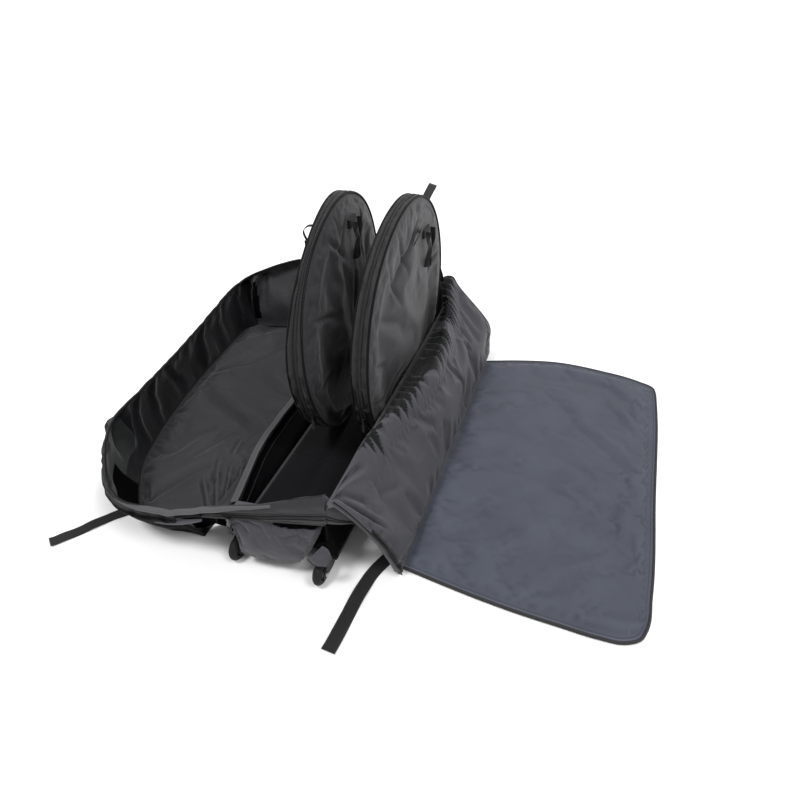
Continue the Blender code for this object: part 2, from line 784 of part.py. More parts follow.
def make_shoulder_piping():
    """Zip edge that follows the shoulder's near edge down to the floor."""
    outer, _ = shoulder_section(0.0)
    points = []
    for x, z in outer[2:]:
        y = SHOULDER_NEAR + SHOULDER_NEAR_SETBACK * fall_share(z)
        points.append((x, y - PIPING_RADIUS * 1.2, z))
    obj = tube(smooth_path(points, 12), PIPING_RADIUS, 1)
    place(obj, "shoulder_zip_edge", BLACK)


def flat_strap(points, count, width, name):
    """Webbing that lies flat on the floor along a path of points."""
    path = smooth_path(points, count)
    across = []
    for k in range(count):
        along = path[min(k + 1, count - 1)] - path[max(k - 1, 0)]
        across.append(Vector((-along.y, along.x, 0.0)))
    obj = ribbon(path, across, width, STRAP_THICKNESS)
    place(obj, name, BLACK)


RIGHT_STRAP_SHARES = [
    (0.000, 0.000), (0.092, -0.018), (0.184, -0.053), (0.347, -0.108), (0.466, -0.124),
    (0.582, -0.137), (0.711, -0.145), (0.845, -0.150), (1.000, -0.162),
]
ANCHOR_SHARE = 0.16  # how far along the shoulder the strap is sewn


def anchor_place():
    """The shoulder's inner lower edge and the way up its inner face, where the strap is sewn."""
    _, inner = shoulder_section(ANCHOR_SHARE)
    foot, above = Vector(inner[-1]), Vector(inner[-2])
    y = SHOULDER_NEAR + (SHOULDER_FAR - SHOULDER_NEAR) * ANCHOR_SHARE
    return foot, (above - foot).normalized(), y


def make_right_strap():
    foot, _, y = anchor_place()
    height = STRAP_THICKNESS / 2 + CLEARANCE
    x = foot.x - STRAP_WIDTH / 2
    length = RIGHT_STRAP_LENGTH
    points = [(x + length * v, y - length * u, height) for u, v in RIGHT_STRAP_SHARES]
    flat_strap(points, 14, STRAP_WIDTH, "right_strap")


def make_right_strap_anchor():
    """Folded webbing patch: one leaf on the shoulder's inner face, one on the strap's root."""
    foot, up, y = anchor_place()
    away = Vector((-up.y, up.x))
    thick = STRAP_THICKNESS
    low = thick + 2 * CLEARANCE
    near = foot + away * CLEARANCE
    top = near + up * STRAP_WIDTH
    toe = foot.x - STRAP_WIDTH
    outline = [
        tuple(top), tuple(near), (near.x, low), (toe, low), (toe, low + thick),
        (near.x - 2 * thick, low + thick), tuple(top + away * thick),
    ]
    obj = plate(outline, STRAP_WIDTH * 0.7, normal="Y")
    obj.location = (0.0, y, 0.0)
    place(obj, "right_strap_anchor", BLACK)


# Lid panel

LID_OUTLINE_SHARES = [
    (0.000, 0.039), (0.164, 0.027), (0.338, 0.016), (0.502, 0.009), (0.658, 0.006),
    (0.809, 0.004), (0.900, 0.009), (0.955, 0.027), (0.976, 0.053), (0.990, 0.135),
    (0.999, 0.436), (1.000, 0.867), (0.996, 0.904), (0.985, 0.928), (0.905, 0.949),
    (0.678, 0.971), (0.435, 0.975), (0.195, 0.945), (0.000, 0.907),
]
LID_NEAR = SHOULDER_NEAR + SHOULDER_NEAR_SETBACK * 0.75


def lid_outline():
    left = LID_HINGE_X
    return [
        (left + across * LID_WIDTH, LID_NEAR + along * LID_LENGTH)
        for across, along in LID_OUTLINE_SHARES
    ]


def make_lid_panel():
    obj = plate(lid_outline(), LID_THICKNESS)
    obj.location = (0.0, 0.0, LID_THICKNESS / 2)
    place(obj, "lid_panel", BLUE_GREY)


def make_lid_binding():
    """Corded edge round the three free sides of the lid."""
    points = []
    outline = [Vector((x, y, 0.0)) for x, y in lid_outline()]
    out = LID_BINDING_RADIUS * 1.12 + CLEARANCE
    for k, here in enumerate(outline):
        before = outline[max(k - 1, 0)]
        after = outline[min(k + 1, len(outline) - 1)]
        along = (after - before).normalized()
        outward = Vector((along.y, -along.x, 0.0))
        corner = 1.0
        if 0 < k < len(outline) - 1:
            turn = (here - before).angle(after - here)
            corner = 1.0 / math.cos(turn / 2)
        point = here + outward * out * corner
        points.append((point.x, point.y, LID_THICKNESS / 2))
    obj = tube(points, LID_BINDING_RADIUS, 1)
    place(obj, "lid_binding", BLACK)


# Left half shell: floor panel and the walls round three sides of it

def shell_floor_outline():
    """Edge of the shell's floor panel from its near hinge end round to the far one."""
    shares = [
        (0.000, 0.000), (0.440, 0.000), (0.600, 0.060), (0.740, 0.150), (0.840, 0.280),
        (0.910, 0.430), (0.965, 0.620), (0.990, 0.790), (1.000, 0.900), (0.950, 0.935),
        (0.790, 0.950), (0.600, 0.975), (0.330, 1.000), (0.000, 1.000),
    ]
    left = SHELL_HINGE_X
    near = RIM_NEAR - NEAR_SETBACK * 1.25
    return [(left - across * SHELL_WIDTH, near + along * SHELL_LENGTH) for across, along in shares]


def make_shell_floor():
    obj = plate(list(reversed(shell_floor_outline())), SHELL_FLOOR_THICKNESS)
    obj.location = (0.0, 0.0, SHELL_FLOOR_THICKNESS / 2)
    place(obj, "left_floor_panel", DARK)


SHELL_WALL_SHARES = [
    # for each place on the floor's edge: lean below the middle and at the rim, as shares of the
    # widest lean, then the rim's height as a share of the shell's height
    (0.46, 0.45, 0.66), (0.37, 0.37, 0.77), (0.22, 0.21, 0.80), (0.18, 0.18, 0.80),
    (0.11, 0.105, 0.73), (0.08, 0.08, 0.68), (0.08, 0.08, 0.68), (0.11, 0.105, 0.74),
    (0.15, 0.16, 0.76), (0.25, 0.32, 0.83), (0.34, 0.53, 0.95), (0.38, 0.79, 1.00),
    (0.38, 0.84, 1.06), (0.36, 0.80, 1.12),
]


def outward_at(outline, k):
    before = Vector(outline[max(k - 1, 0)])
    after = Vector(outline[min(k + 1, len(outline) - 1)])
    along = (after - before).normalized()
    return Vector((-along.y, along.x))


def shell_wall_section(k):
    """Outer and inner points of the wall at one place on the floor's edge, floor to rim."""
    outline = shell_floor_outline()
    here = Vector(outline[k])
    out = outward_at(outline, k)
    if k in (0, 1):
        out = Vector((0.0, -1.0))
    if k in (len(outline) - 2, len(outline) - 1):
        out = Vector((0.0, 1.0))
    low_share, rim_share, height = SHELL_WALL_SHARES[k]
    low_lean, rim_lean = low_share * SHELL_LEAN, rim_share * SHELL_LEAN
    rim = SHELL_HEIGHT * height
    thick = SHELL_WALL_THICKNESS
    seat = STRAP_THICKNESS + 3 * CLEARANCE
    outer = [
        (CLEARANCE, seat), (low_lean, rim * 0.64), (rim_lean + thick * 0.2, rim * 0.84),
        (rim_lean, rim),
    ]
    section = []
    for lean, z in outer:
        section.append((here.x + out.x * (lean + thick), here.y + out.y * (lean + thick), z))
    for lean, z in reversed(outer):
        section.append((here.x + out.x * lean, here.y + out.y * lean, z))
    return section


def shell_lip_section():
    """The near wall's end, which hangs from the rim past the hinge line and clears the floor."""
    section = shell_wall_section(0)
    high = section[3][2]
    levels = [0.84, 0.90, 0.95, 1.0]
    lip = []
    for k, (_, y, _) in enumerate(section):
        level = levels[k] if k < 4 else levels[7 - k]
        bottom = section[1][1] if k < 4 else section[6][1]
        near = y if k in (2, 3, 4, 5) else bottom
        lip.append((SHELL_HINGE_X + SHELL_LIP, near, high * level))
    return lip


def make_shell_walls():
    spans = {
        "left_near_gusset": range(0, 5),
        "left_outer_gusset": range(4, 10),
        "left_far_gusset": range(9, 14),
    }
    for name, span in spans.items():
        sections = [shell_wall_section(k) for k in span]
        trim(sections, span.start > 0, span.stop < 14)
        if span.start == 0:
            sections.insert(0, shell_lip_section())
        obj = loft(sections)
        place(obj, name, DARK)


def trim(sections, at_start, at_end):
    """Draws an end section back by the clearance, so that two walls meet without touching."""
    def draw(section, neighbour):
        gap = (Vector(neighbour[0]) - Vector(section[0])).length
        share = CLEARANCE / gap
        return [tuple(Vector(p).lerp(Vector(q), share)) for p, q in zip(section, neighbour)]
    if at_start:
        sections[0] = draw(sections[0], sections[1])
    if at_end:
        sections[-1] = draw(sections[-1], sections[-2])


def make_rim_zip():
    """Half of the main zip, along the top of the shell's three walls."""
    points = []
    for section in [shell_lip_section()] + [shell_wall_section(k) for k in range(14)]:
        middle = (Vector(section[3]) + Vector(section[4])) / 2
        points.append(middle + Vector((0.0, 0.0, RIM_ZIP_RADIUS * 1.10)))
    obj = tube(points, RIM_ZIP_RADIUS, 1)
    place(obj, "left_rim_zip", BLACK)


LEFT_STRAP_SHARES = [(0.0, 0.0), (0.17, -0.002), (0.33, -0.015), (0.51, -0.005), (0.69, 0.0),
                     (0.85, 0.002), (1.0, 0.0)]


def make_left_strap():
    """Its root is tucked under the foot of the shell's near corner."""
    outline = shell_floor_outline()
    before, after = Vector(outline[1]), Vector(outline[2])
    out = Vector((before.y - after.y, after.x - before.x)).normalized()
    start = (before + after) / 2 + out * STRAP_THICKNESS * 1.5
    heading = math.radians(LEFT_STRAP_DEGREES)
    along = Vector((math.cos(heading), math.sin(heading)))
    height = STRAP_THICKNESS / 2 + CLEARANCE
    points = []
    for u, v in LEFT_STRAP_SHARES:
        here = start + along * LEFT_STRAP_LENGTH * u
        here += Vector((-along.y, along.x)) * LEFT_STRAP_LENGTH * v
        points.append((here.x, here.y, height))
    flat_strap(points, 9, STRAP_WIDTH * 0.95, "left_strap")


def make_corner_tab():
    """Short webbing tab that stands outside the shell's near left corner."""
    section = shell_wall_section(4)
    outer = Vector(section[2])
    out = Vector(section[0]) - Vector(section[-1])
    out.z = 0.0
    out.normalize()
    along = Vector((-out.y, out.x, 0.0))
    root = outer + out * (STRAP_THICKNESS / 2 + CLEARANCE)
    path = [
        root + out * TAB_WIDTH * 0.1 * k + Vector((0.0, 0.0, TAB_WIDTH * 0.5 * (k - 1)))
        for k in range(3)
    ]
    obj = ribbon(path, [along] * 3, TAB_WIDTH, STRAP_THICKNESS)
    place(obj, "left_corner_tab", BLACK)


# Wheel bags

BAG_STEPS = 60


def dome(radius):
    """How far a face swells past the gusset's edge at a radius: nearly flat, then rolled off."""
    return BAG_DOME * (1.0 - min(1.0, radius / BAG_RADIUS) ** 6)


def make_bag(x, name):
    """Two domed, padded faces inside a gusset ring that carries the zip."""
    half = BAG_WIDTH / 2
    centre = (x, BAG_Y, BAG_Z)
    face = BAG_RADIUS - GUSSET_RING - CLEARANCE
    for side, label in ((-1, "left_face"), (1, "right_face")):
        profile = [(0.0, CLEARANCE / 2), (face, CLEARANCE / 2)]
        for share in (1.0, 0.93, 0.84, 0.72, 0.55, 0.30, 0.0):
            radius = face * share
            profile.append((radius, half + dome(radius)))
        obj = turned([(r, side * a) for r, a in profile], BAG_STEPS)
        obj.location = centre
        place(obj, name + "_" + label, GREY)

    inner, outer = BAG_RADIUS - GUSSET_RING, BAG_RADIUS
    ring = turned([
        (inner, -half), (outer - GUSSET_RING / 2, -half), (outer, -half + GUSSET_RING),
        (outer, half - GUSSET_RING), (outer - GUSSET_RING / 2, half), (inner, half),
    ], BAG_STEPS)
    ring.location = centre
    place(ring, name + "_gusset", DARK)

    low = BAG_RADIUS + CLEARANCE
    high = low + ZIP_HEIGHT
    zip_ring = turned([
        (low, -ZIP_WIDTH / 2), (high, -ZIP_WIDTH / 4), (high, ZIP_WIDTH / 4), (low, ZIP_WIDTH / 2),
    ], BAG_STEPS)
    zip_ring.location = centre
    place(zip_ring, name + "_zip", BLACK)


ZIP_TOP = BAG_RADIUS + CLEARANCE + ZIP_HEIGHT


def rim_frame(x, degrees, radius):
    """A point over a bag's gusset, so many degrees from its top towards the near side."""
    turn = math.radians(degrees)
    return Vector((x, BAG_Y - radius * math.sin(turn), BAG_Z + radius * math.cos(turn)))


def make_bag_slider(x, name):
    """Zip slider on the gusset, and its pull, which hangs straight down."""
    radius = ZIP_TOP + CLEARANCE + SLIDER_HEIGHT / 2
    slider = box((SLIDER_WIDTH, SLIDER_LENGTH, SLIDER_HEIGHT), rim_frame(x, SLIDER_DEGREES, radius))
    slider.rotation_euler = (math.radians(SLIDER_DEGREES), 0.0, 0.0)
    bevel(slider, SLIDER_HEIGHT / 4, 1)
    place(slider, name + "_slider", STEEL, 0.35, 1.0)

    hinge = bag_pull_hinge(x)
    rise = PULL_THICKNESS * 0.4
    pull = box(
        (PULL_WIDTH, PULL_THICKNESS, PULL_LENGTH),
        hinge + Vector((0.0, 0.0, rise - PULL_LENGTH / 2)),
    )
    bevel(pull, PULL_THICKNESS / 4, 1)
    place(pull, name + "_pull", BLACK)


def bag_pull_hinge(x):
    outer = ZIP_TOP + CLEARANCE + SLIDER_HEIGHT + RUNNING_GAP + PULL_THICKNESS / 2
    return rim_frame(x, SLIDER_DEGREES, outer)


def handle_place(x, across, up):
    """Where a handle's hinge line lies on a bag's right face, from the bag's middle."""
    face = x + BAG_WIDTH / 2 + BAG_DOME + CLEARANCE
    hinge_x = face + CLEARANCE + HANDLE_WIDTH / 2
    return face, Vector((hinge_x, BAG_Y + across * BAG_RADIUS, BAG_Z + up * BAG_RADIUS))


def make_bag_handle(x, name, across, up):
    """Hanging webbing loop, and the sewn patch that carries both its ends."""
    face, hinge = handle_place(x, across, up)
    half = HANDLE_SPAN / 2
    bottom = HANDLE_DROP
    shape = [(-1.0, 0.0), (-1.0, 0.25), (-1.05, 0.55), (-0.85, 0.82), (-0.35, 0.98), (0.35, 0.98),
             (0.85, 0.82), (1.05, 0.55), (1.0, 0.25), (1.0, 0.0)]
    points = [hinge + Vector((0.0, half * u, -bottom * v)) for u, v in shape]
    path = smooth_path(points, 19)
    loop = ribbon(path, [(1.0, 0.0, 0.0)] * len(path), HANDLE_WIDTH, STRAP_THICKNESS)
    place(loop, name + "_handle", BLACK)

    drop = HANDLE_WIDTH
    low, high = hinge.z - drop, hinge.z + drop * 0.2
    reach = math.hypot(max(abs(hinge.y - BAG_Y) - half * 1.3, 0.0), max(low - BAG_Z, 0.0))
    inner = x + BAG_WIDTH / 2 + dome(reach) + CLEARANCE
    thick = face - inner
    patch = box(
        (thick, HANDLE_SPAN * 1.3, high - low), (inner + thick / 2, hinge.y, (low + high) / 2))
    place(patch, name + "_handle_patch", BLACK)


def make_top_loop():
    """Folded webbing tab that stands off the right bag's gusset, on its far upper side."""
    base = ZIP_TOP + CLEARANCE
    gap = STRAP_THICKNESS * 1.3
    turn = math.radians(TOP_LOOP_DEGREES)
    out = Vector((0.0, -math.sin(turn), math.cos(turn)))
    along = Vector((0.0, out.z, -out.y))
    root = rim_frame(RIGHT_BAG_X, TOP_LOOP_DEGREES, base)
    length = TOP_LOOP_LENGTH
    path = [root + along * gap + out * length * k / 3 for k in range(3)]
    for k in range(5):
        turn = math.pi * k / 4
        path.append(
            root + out * (length + gap * math.sin(turn)) + along * gap * math.cos(turn))
    path += [root - along * gap + out * length * (2 - k) / 3 for k in range(3)]
    obj = ribbon(path, [(1.0, 0.0, 0.0)] * len(path), TAB_WIDTH, STRAP_THICKNESS)
    place(obj, "right_bag_top_loop", BLACK)


def make_side_loop():
    """Small webbing loop on the left bag's outer face, near its upper near edge."""
    y = BAG_Y - BAG_RADIUS * 0.33
    z = BAG_Z + BAG_RADIUS * 0.80
    size = TAB_WIDTH * 0.9
    face = LEFT_BAG_X - BAG_WIDTH / 2 - dome(math.hypot(y - BAG_Y, z - size - BAG_Z))
    root = face - STRAP_THICKNESS / 2
    shape = [(0.0, 1.0), (0.45, 0.85), (0.85, 0.35), (0.85, -0.35), (0.45, -0.85), (0.0, -1.0)]
    path = smooth_path([(root - size * u, y, z + size * v) for u, v in shape], 13)
    obj = ribbon(path, [(0.0, 1.0, 0.0)] * len(path), TAB_WIDTH / 2, STRAP_THICKNESS)
    place(obj, "left_bag_side_loop", BLACK)


def turn_left_bag():
    """The left bag stands a little askew: its far side is turned to the left and set nearer."""
    centre = Vector((LEFT_BAG_X, BAG_Y, 0.0))
    turn = Matrix.Rotation(math.radians(LEFT_BAG_TURN), 4, "Z")
    shift = Matrix.Translation(centre - Vector((0.0, LEFT_BAG_SHIFT, 0.0)))
    for obj in PARTS.objects:
        if obj.name.startswith("left_bag"):
            obj.matrix_basis = shift @ turn @ Matrix.Translation(-centre) @ obj.matrix_basis


# Main zip's slider and its knotted cord pull

def main_slider_place():
    point = main_zip_line(MAIN_SLIDER_INSET - TRACK / 2)
    front = point.y - TRACK_RADIUS - RUNNING_GAP
    return Vector((point.x, front - SLIDER_HEIGHT / 2, point.z))


def make_main_slider():
    centre = main_slider_place()
    slider = box((SLIDER_LENGTH, SLIDER_HEIGHT, SLIDER_WIDTH), centre)
    slider.rotation_euler = (0.0, -math.atan(STRIP_SLOPE), math.atan(STRIP_YAW))
    bevel(slider, SLIDER_HEIGHT / 4, 1)
    place(slider, "main_zip_slider", STEEL, 0.35, 1.0)

    cord, knot = MAIN_PULL_RADIUS, MAIN_PULL_RADIUS * 2.3
    length = MAIN_PULL_LENGTH
    profile = [(0.0, 0.0)]
    shape = [(0.8, 0.0), (1.0, 0.04), (1.0, 0.30), (1.7, 0.36), (2.3, 0.44), (2.3, 0.50),
             (1.6, 0.58), (1.0, 0.64), (1.1, 0.96), (0.8, 1.0)]
    profile += [(cord * r, -length * a) for r, a in shape]
    profile.append((0.0, -length))
    pull = turned(profile, 16, axis="Z")
    pull.location = main_pull_hinge() + Vector((0.0, 0.0, cord))
    place(pull, "main_zip_pull", BLACK)


def main_pull_hinge():
    centre = main_slider_place()
    front = centre.y - SLIDER_HEIGHT / 2 - CLEARANCE
    return Vector((centre.x, front - MAIN_PULL_RADIUS * 1.2, centre.z))


def main():
    global PARTS, CUTTERS
    clear_scene()
    PARTS = new_collection("bike_travel_bag")
    CUTTERS = new_collection("cutters")
    make_tray()
    make_board()
    make_base_pad()
    make_foot()
    for side, name in ((-1, "left_wheel"), (1, "right_wheel")):
        make_wheel(side, name)
        make_housing(side, name)
        make_axle(side, name)
    make_end_strip()
    make_end_panel()
    make_corner_gusset(-1, "left")
    make_corner_gusset(1, "right")
    make_main_zip()
    make_far_wall()
    make_side_wall()
    make_rim_pad()
    make_rim_piping()
    make_shoulder()
    make_shoulder_piping()
    make_right_strap()
    make_right_strap_anchor()
    make_lid_panel()
    make_lid_binding()
    make_shell_floor()
    make_shell_walls()
    make_rim_zip()
    make_left_strap()
    make_corner_tab()
    for x, name, across, up in (
        (LEFT_BAG_X, "left_bag", 0.13, 0.80), (RIGHT_BAG_X, "right_bag", 0.40, 0.64)):
        make_bag(x, name)
        make_bag_slider(x, name)
        make_bag_handle(x, name, across, up)
    make_top_loop()
    make_side_loop()
    turn_left_bag()
    make_main_slider()


main()
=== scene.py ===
"""Looks of a soft bike travel bag that stands open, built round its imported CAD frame."""

import math

import bmesh
import bpy
import numpy as np
from mathutils import Matrix, Vector


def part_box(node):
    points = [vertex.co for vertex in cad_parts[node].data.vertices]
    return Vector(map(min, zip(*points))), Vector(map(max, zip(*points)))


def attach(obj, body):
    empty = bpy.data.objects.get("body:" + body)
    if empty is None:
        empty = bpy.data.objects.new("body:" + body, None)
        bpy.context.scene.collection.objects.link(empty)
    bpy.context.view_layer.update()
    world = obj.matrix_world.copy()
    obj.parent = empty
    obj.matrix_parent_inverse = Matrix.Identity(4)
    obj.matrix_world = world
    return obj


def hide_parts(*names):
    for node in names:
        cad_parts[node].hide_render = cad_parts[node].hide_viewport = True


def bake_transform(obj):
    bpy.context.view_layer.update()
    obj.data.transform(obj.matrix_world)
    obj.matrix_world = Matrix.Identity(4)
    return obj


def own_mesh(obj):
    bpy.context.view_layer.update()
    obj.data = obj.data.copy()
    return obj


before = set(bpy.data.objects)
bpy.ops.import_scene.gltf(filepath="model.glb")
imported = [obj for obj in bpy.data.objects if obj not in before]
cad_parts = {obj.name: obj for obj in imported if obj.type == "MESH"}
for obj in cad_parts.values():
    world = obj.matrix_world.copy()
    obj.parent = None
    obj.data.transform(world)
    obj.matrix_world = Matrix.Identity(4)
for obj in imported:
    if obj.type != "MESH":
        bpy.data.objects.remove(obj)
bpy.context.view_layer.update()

# Places and sizes of the CAD source, in metres
BOARD_NEAR, BOARD_TOP, PAD_TOP = -1.054, 0.0553, 0.0656
HALF_BASE = 0.156
WALL_FOOT, WALL_HEIGHT = 0.0556, 0.230
SHOULDER_HINGE = (0.157, 0.2864)
SHOULDER_REACH, SHOULDER_THICK, RIDGE_RISE = 0.172, 0.018, 0.050
SHOULDER_NEAR, SHOULDER_FAR = -1.104, 0.103
NEAR_SET, FAR_SET = 0.090, 0.038
LID_HINGE = (0.329, 0.014)
LID_NEAR, LID_WIDTH, LID_LENGTH = -1.0366, 0.658, 1.230
RIM_RIGHT, RIM_WIDTH, RIM_HEIGHT, RIM_NEAR, RIM_FAR = -0.1563, 0.105, 0.106, -1.008, 0.0727
SHELL_HINGE = -0.2621
SHELL_WIDTH, SHELL_LENGTH, SHELL_HEIGHT, SHELL_LEAN = 0.487, 1.165, 0.255, 0.190
SHELL_NEAR = RIM_NEAR - 0.0575
BAG_RADIUS, BAG_HALF, BAG_DOME = 0.370, 0.029, 0.012
BAG_PLACES = {"left": (-0.076, -0.423, 0.4374), "right": (0.109, -0.385, 0.4374)}
BAG_TURNS = {"left": math.radians(6.4), "right": 0.0}
STRIP_LEFT, STRIP_RIGHT, STRIP_THICK = -0.200, 0.1562, 0.012

ACROSS, ALONG, UP = np.eye(3)


# Numbers: noise, curves and soft steps

def noise(points, cell, seed):
    """Smooth noise from -1 to 1 at rows of points, in cells of one size or one for each axis."""
    at = np.asarray(points, float) / np.asarray(cell, float)
    low = np.floor(at).astype(np.int64)
    part = at - low
    part = part * part * (3 - 2 * part)
    total = np.zeros(at.shape[:-1])
    axes = at.shape[-1]
    for corner in range(2 ** axes):
        bits = np.array([(corner >> k) & 1 for k in range(axes)])
        mixed = np.full(at.shape[:-1], seed * 7919 + 17, np.int64)
        for k in range(axes):
            mixed = (mixed ^ (low[..., k] + bits[k])) * 1103515245 + 12345 + 97 * k
            mixed = mixed & 0x7FFFFFFF
            mixed = mixed ^ (mixed >> 13)
        weight = np.prod(np.where(bits, part, 1 - part), axis=-1)
        total += weight * ((mixed % 20011) / 10005.0 - 1.0)
    return total


def layered(points, cell, seed, layers=3):
    total = 0.0
    for k in range(layers):
        total = total + noise(points, np.asarray(cell, float) / 2 ** k, seed + 31 * k) / 2 ** k
    return total / 1.6


def ridged(points, cell, seed):
    """Noise with sharp crests and round valleys, from -1 to 1, like pinched cloth."""
    return 1.0 - 2.6 * np.abs(noise(points, cell, seed)) ** 0.8


def step(value, low, high):
    t = np.clip((np.asarray(value, float) - low) / (high - low), 0, 1)
    return t * t * (3 - 2 * t)


def between(value, low, full, fade, high):
    """1 from full to fade, and 0 below low and above high."""
    return step(value, low, full) * (1 - step(value, fade, high))


def hump(value, centre, width):
    return np.exp(-((np.asarray(value, float) - centre) / width) ** 2)


def crease(u, v, start, end, width):
    """1 on a line from start to end and 0 away from it, faded at both ends."""
    along = np.subtract(end, start)
    long = np.hypot(*along)
    t = ((u - start[0]) * along[0] + (v - start[1]) * along[1]) / long ** 2
    off = np.abs((u - start[0]) * along[1] - (v - start[1]) * along[0]) / long
    return hump(off, 0, width) * between(t, -0.05, 0.25, 0.70, 1.05)


def joined(*columns):
    """Rows of points from their coordinates, each of them a grid or one number."""
    return np.stack(np.broadcast_arrays(*columns), axis=-1)


def field(first, second):
    """Two grids of coordinates, each from its start, end and count."""
    return np.meshgrid(np.linspace(*first), np.linspace(*second), indexing="ij")


def unit(rows):
    return rows / np.maximum(np.linalg.norm(rows, axis=-1, keepdims=True), 1e-12)


def gaps(path):
    return np.linalg.norm(np.diff(path, axis=0), axis=1)


def reach(path):
    """How far along a path each of its points lies."""
    return np.r_[0.0, np.cumsum(np.maximum(gaps(path), 1e-9))]


def through(rows, knots, at):
    """What a smooth curve through rows, one at each knot, holds at other places."""
    slope = np.gradient(rows, knots, axis=0)
    i = np.clip(np.searchsorted(knots, at, side="right") - 1, 0, len(knots) - 2)
    column = (-1,) + (1,) * (rows.ndim - 1)
    gap = (knots[i + 1] - knots[i]).reshape(column)
    t = (at - knots[i]).reshape(column) / gap
    return ((2 * t**3 - 3 * t**2 + 1) * rows[i] + (t**3 - 2 * t**2 + t) * gap * slope[i]
            + (3 * t**2 - 2 * t**3) * rows[i + 1] + (t**3 - t**2) * gap * slope[i + 1])


def resample(rows, count, knots=None):
    """Rows read off a smooth curve through them at evenly spaced places."""
    rows = np.asarray(rows, float)
    if knots is None:
        knots = reach(rows.reshape(len(rows), -1))
    knots = np.asarray(knots, float)
    return through(rows, knots, np.linspace(knots[0], knots[-1], count))


def closed_resample(rows, count):
    """The same round a closed outline."""
    rows = np.asarray(rows, float)
    n = len(rows)
    wide = np.concatenate([rows, rows, rows[:1]])
    knots = reach(wide)
    fine = resample(wide, 80 * n, knots)
    around = np.linspace(knots[n // 2], knots[n // 2] + knots[n], count, endpoint=False)
    places = np.linspace(0, knots[-1], len(fine))
    return joined(*[np.interp(around, places, column) for column in fine.T])


def crosswise(rows, count, knots):
    """A grid whose rows are each read off a smooth curve through them."""
    return resample(rows.transpose(1, 0, 2), count, knots).transpose(1, 0, 2)


def smoothed(values, half, edge):
    """Values with each one made the mean of its neighbours."""
    count = 2 * half + 1
    return np.convolve(np.pad(values, half, edge), np.ones(count) / count, "valid")


def normals(grid):
    """Unit normals of a grid of points, from its two directions."""
    return unit(np.cross(np.gradient(grid, axis=0), np.gradient(grid, axis=1)))


# Meshes: every maker returns a part, (points, faces, uvs in metres for each face corner)

HEM = 0.004
SHARP_ANGLE = math.radians(62)


def lengths(grid):
    """How far along each of its two ways every point of a grid lies, in metres."""
    def run(axis):
        pad = [(0, 0), (0, 0)]
        pad[axis] = (1, 0)
        return np.cumsum(np.pad(np.linalg.norm(np.diff(grid, axis=axis), axis=-1), pad), axis=axis)
    return joined(run(0).mean(1, keepdims=True), run(1))


def quads(index, uv, flip=False):
    """The faces between neighbours of a grid, and their places on the UV map."""
    def corners(grid):
        four = [grid[:-1, :-1], grid[1:, :-1], grid[1:, 1:], grid[:-1, 1:]]
        return np.stack(four[::-1] if flip else four, axis=2)
    return corners(index).reshape(-1, 4), corners(uv).reshape(-1, 4, 2)


def panel(front, back):
    """A closed body between two grids of points that share their border's shape."""
    index = np.arange(front[..., 0].size).reshape(front.shape[:2])
    other = index + index.size
    uv = lengths(front)
    sides = [quads(index, uv), quads(other, uv, True)]
    for a, b, place in (
            (index[0], other[0], uv[0]), (other[-1], index[-1], uv[-1]),
            (other[:, 0], index[:, 0], uv[:, 0]), (index[:, -1], other[:, -1], uv[:, -1])):
        sides.append(quads(np.stack([a, b]), np.stack([place, place + HEM])))
    faces, places = [np.concatenate(rows) for rows in zip(*sides)]
    return np.concatenate([front.reshape(-1, 3), back.reshape(-1, 3)]), faces, places


def patched(part, front, back=0):
    """A panel with a material index for each face, from grids of its front's and back's indices."""
    cells = front[:-1, :-1].size
    index = np.zeros(len(part[1]), int)
    for k, side in enumerate((front, np.broadcast_to(back, front.shape))):
        index[k * cells: (k + 1) * cells] = side[:-1, :-1].ravel()
    return *part, index


def rings(grid, loop=False):
    """A body through rings of points, each closed, with its ends capped or joined."""
    nu, nv = grid.shape[:2]
    more = [(0, int(loop)), (0, 1)]
    index = np.pad(np.arange(nu * nv).reshape(nu, nv), more, "wrap")
    faces, places = quads(index, lengths(np.pad(grid, more + [(0, 0)], "wrap")))
    points = grid.reshape(-1, 3)
    for row, turn in () if loop else ((0, 1), (nu - 1, -1)):
        here = row * nv + np.arange(nv)
        cap = joined(here, np.roll(here, -1), len(points), len(points))[:, ::turn]
        points = np.concatenate([points, grid[row].mean(0)[None]])
        faces = np.concatenate([faces, cap])
        places = np.concatenate([places, np.zeros((nv, 4, 2))])
    return points, faces, places


def tube(path, radius, up=UP, sides=8, loop=False, flat=1.0):
    """A round cord along a path; its radius may change from point to point."""
    along = np.roll(path, -1, 0) - np.roll(path, 1, 0) if loop else np.gradient(path, axis=0)
    along = unit(along)
    side = unit(np.cross(along, np.broadcast_to(np.asarray(up, float), path.shape)))
    over = np.cross(side, along)
    turn = np.linspace(0, 2 * math.pi, sides, endpoint=False)[None, :, None]
    ring = np.cos(turn) * side[:, None] + np.sin(turn) * over[:, None] * flat
    radius = np.broadcast_to(np.asarray(radius, float), (len(path),))[:, None, None]
    return rings(path[:, None] + ring * radius, loop)


def coil(path, radius, pitch, up=UP, loop=False):
    """A row of zip teeth: a cord that swells at every tooth."""
    teeth = max(4, int(gaps(path).sum() / pitch))
    if loop:
        fine = resample(np.concatenate([path, path[:1]]), teeth * 4)[:-1]
    else:
        fine = resample(path, teeth * 4 + 1)
    swell = np.tile([0.72, 1.0, 1.0, 0.72], teeth + 1)[: len(fine)]
    return tube(fine, radius * swell, up, 6, loop, 0.8)


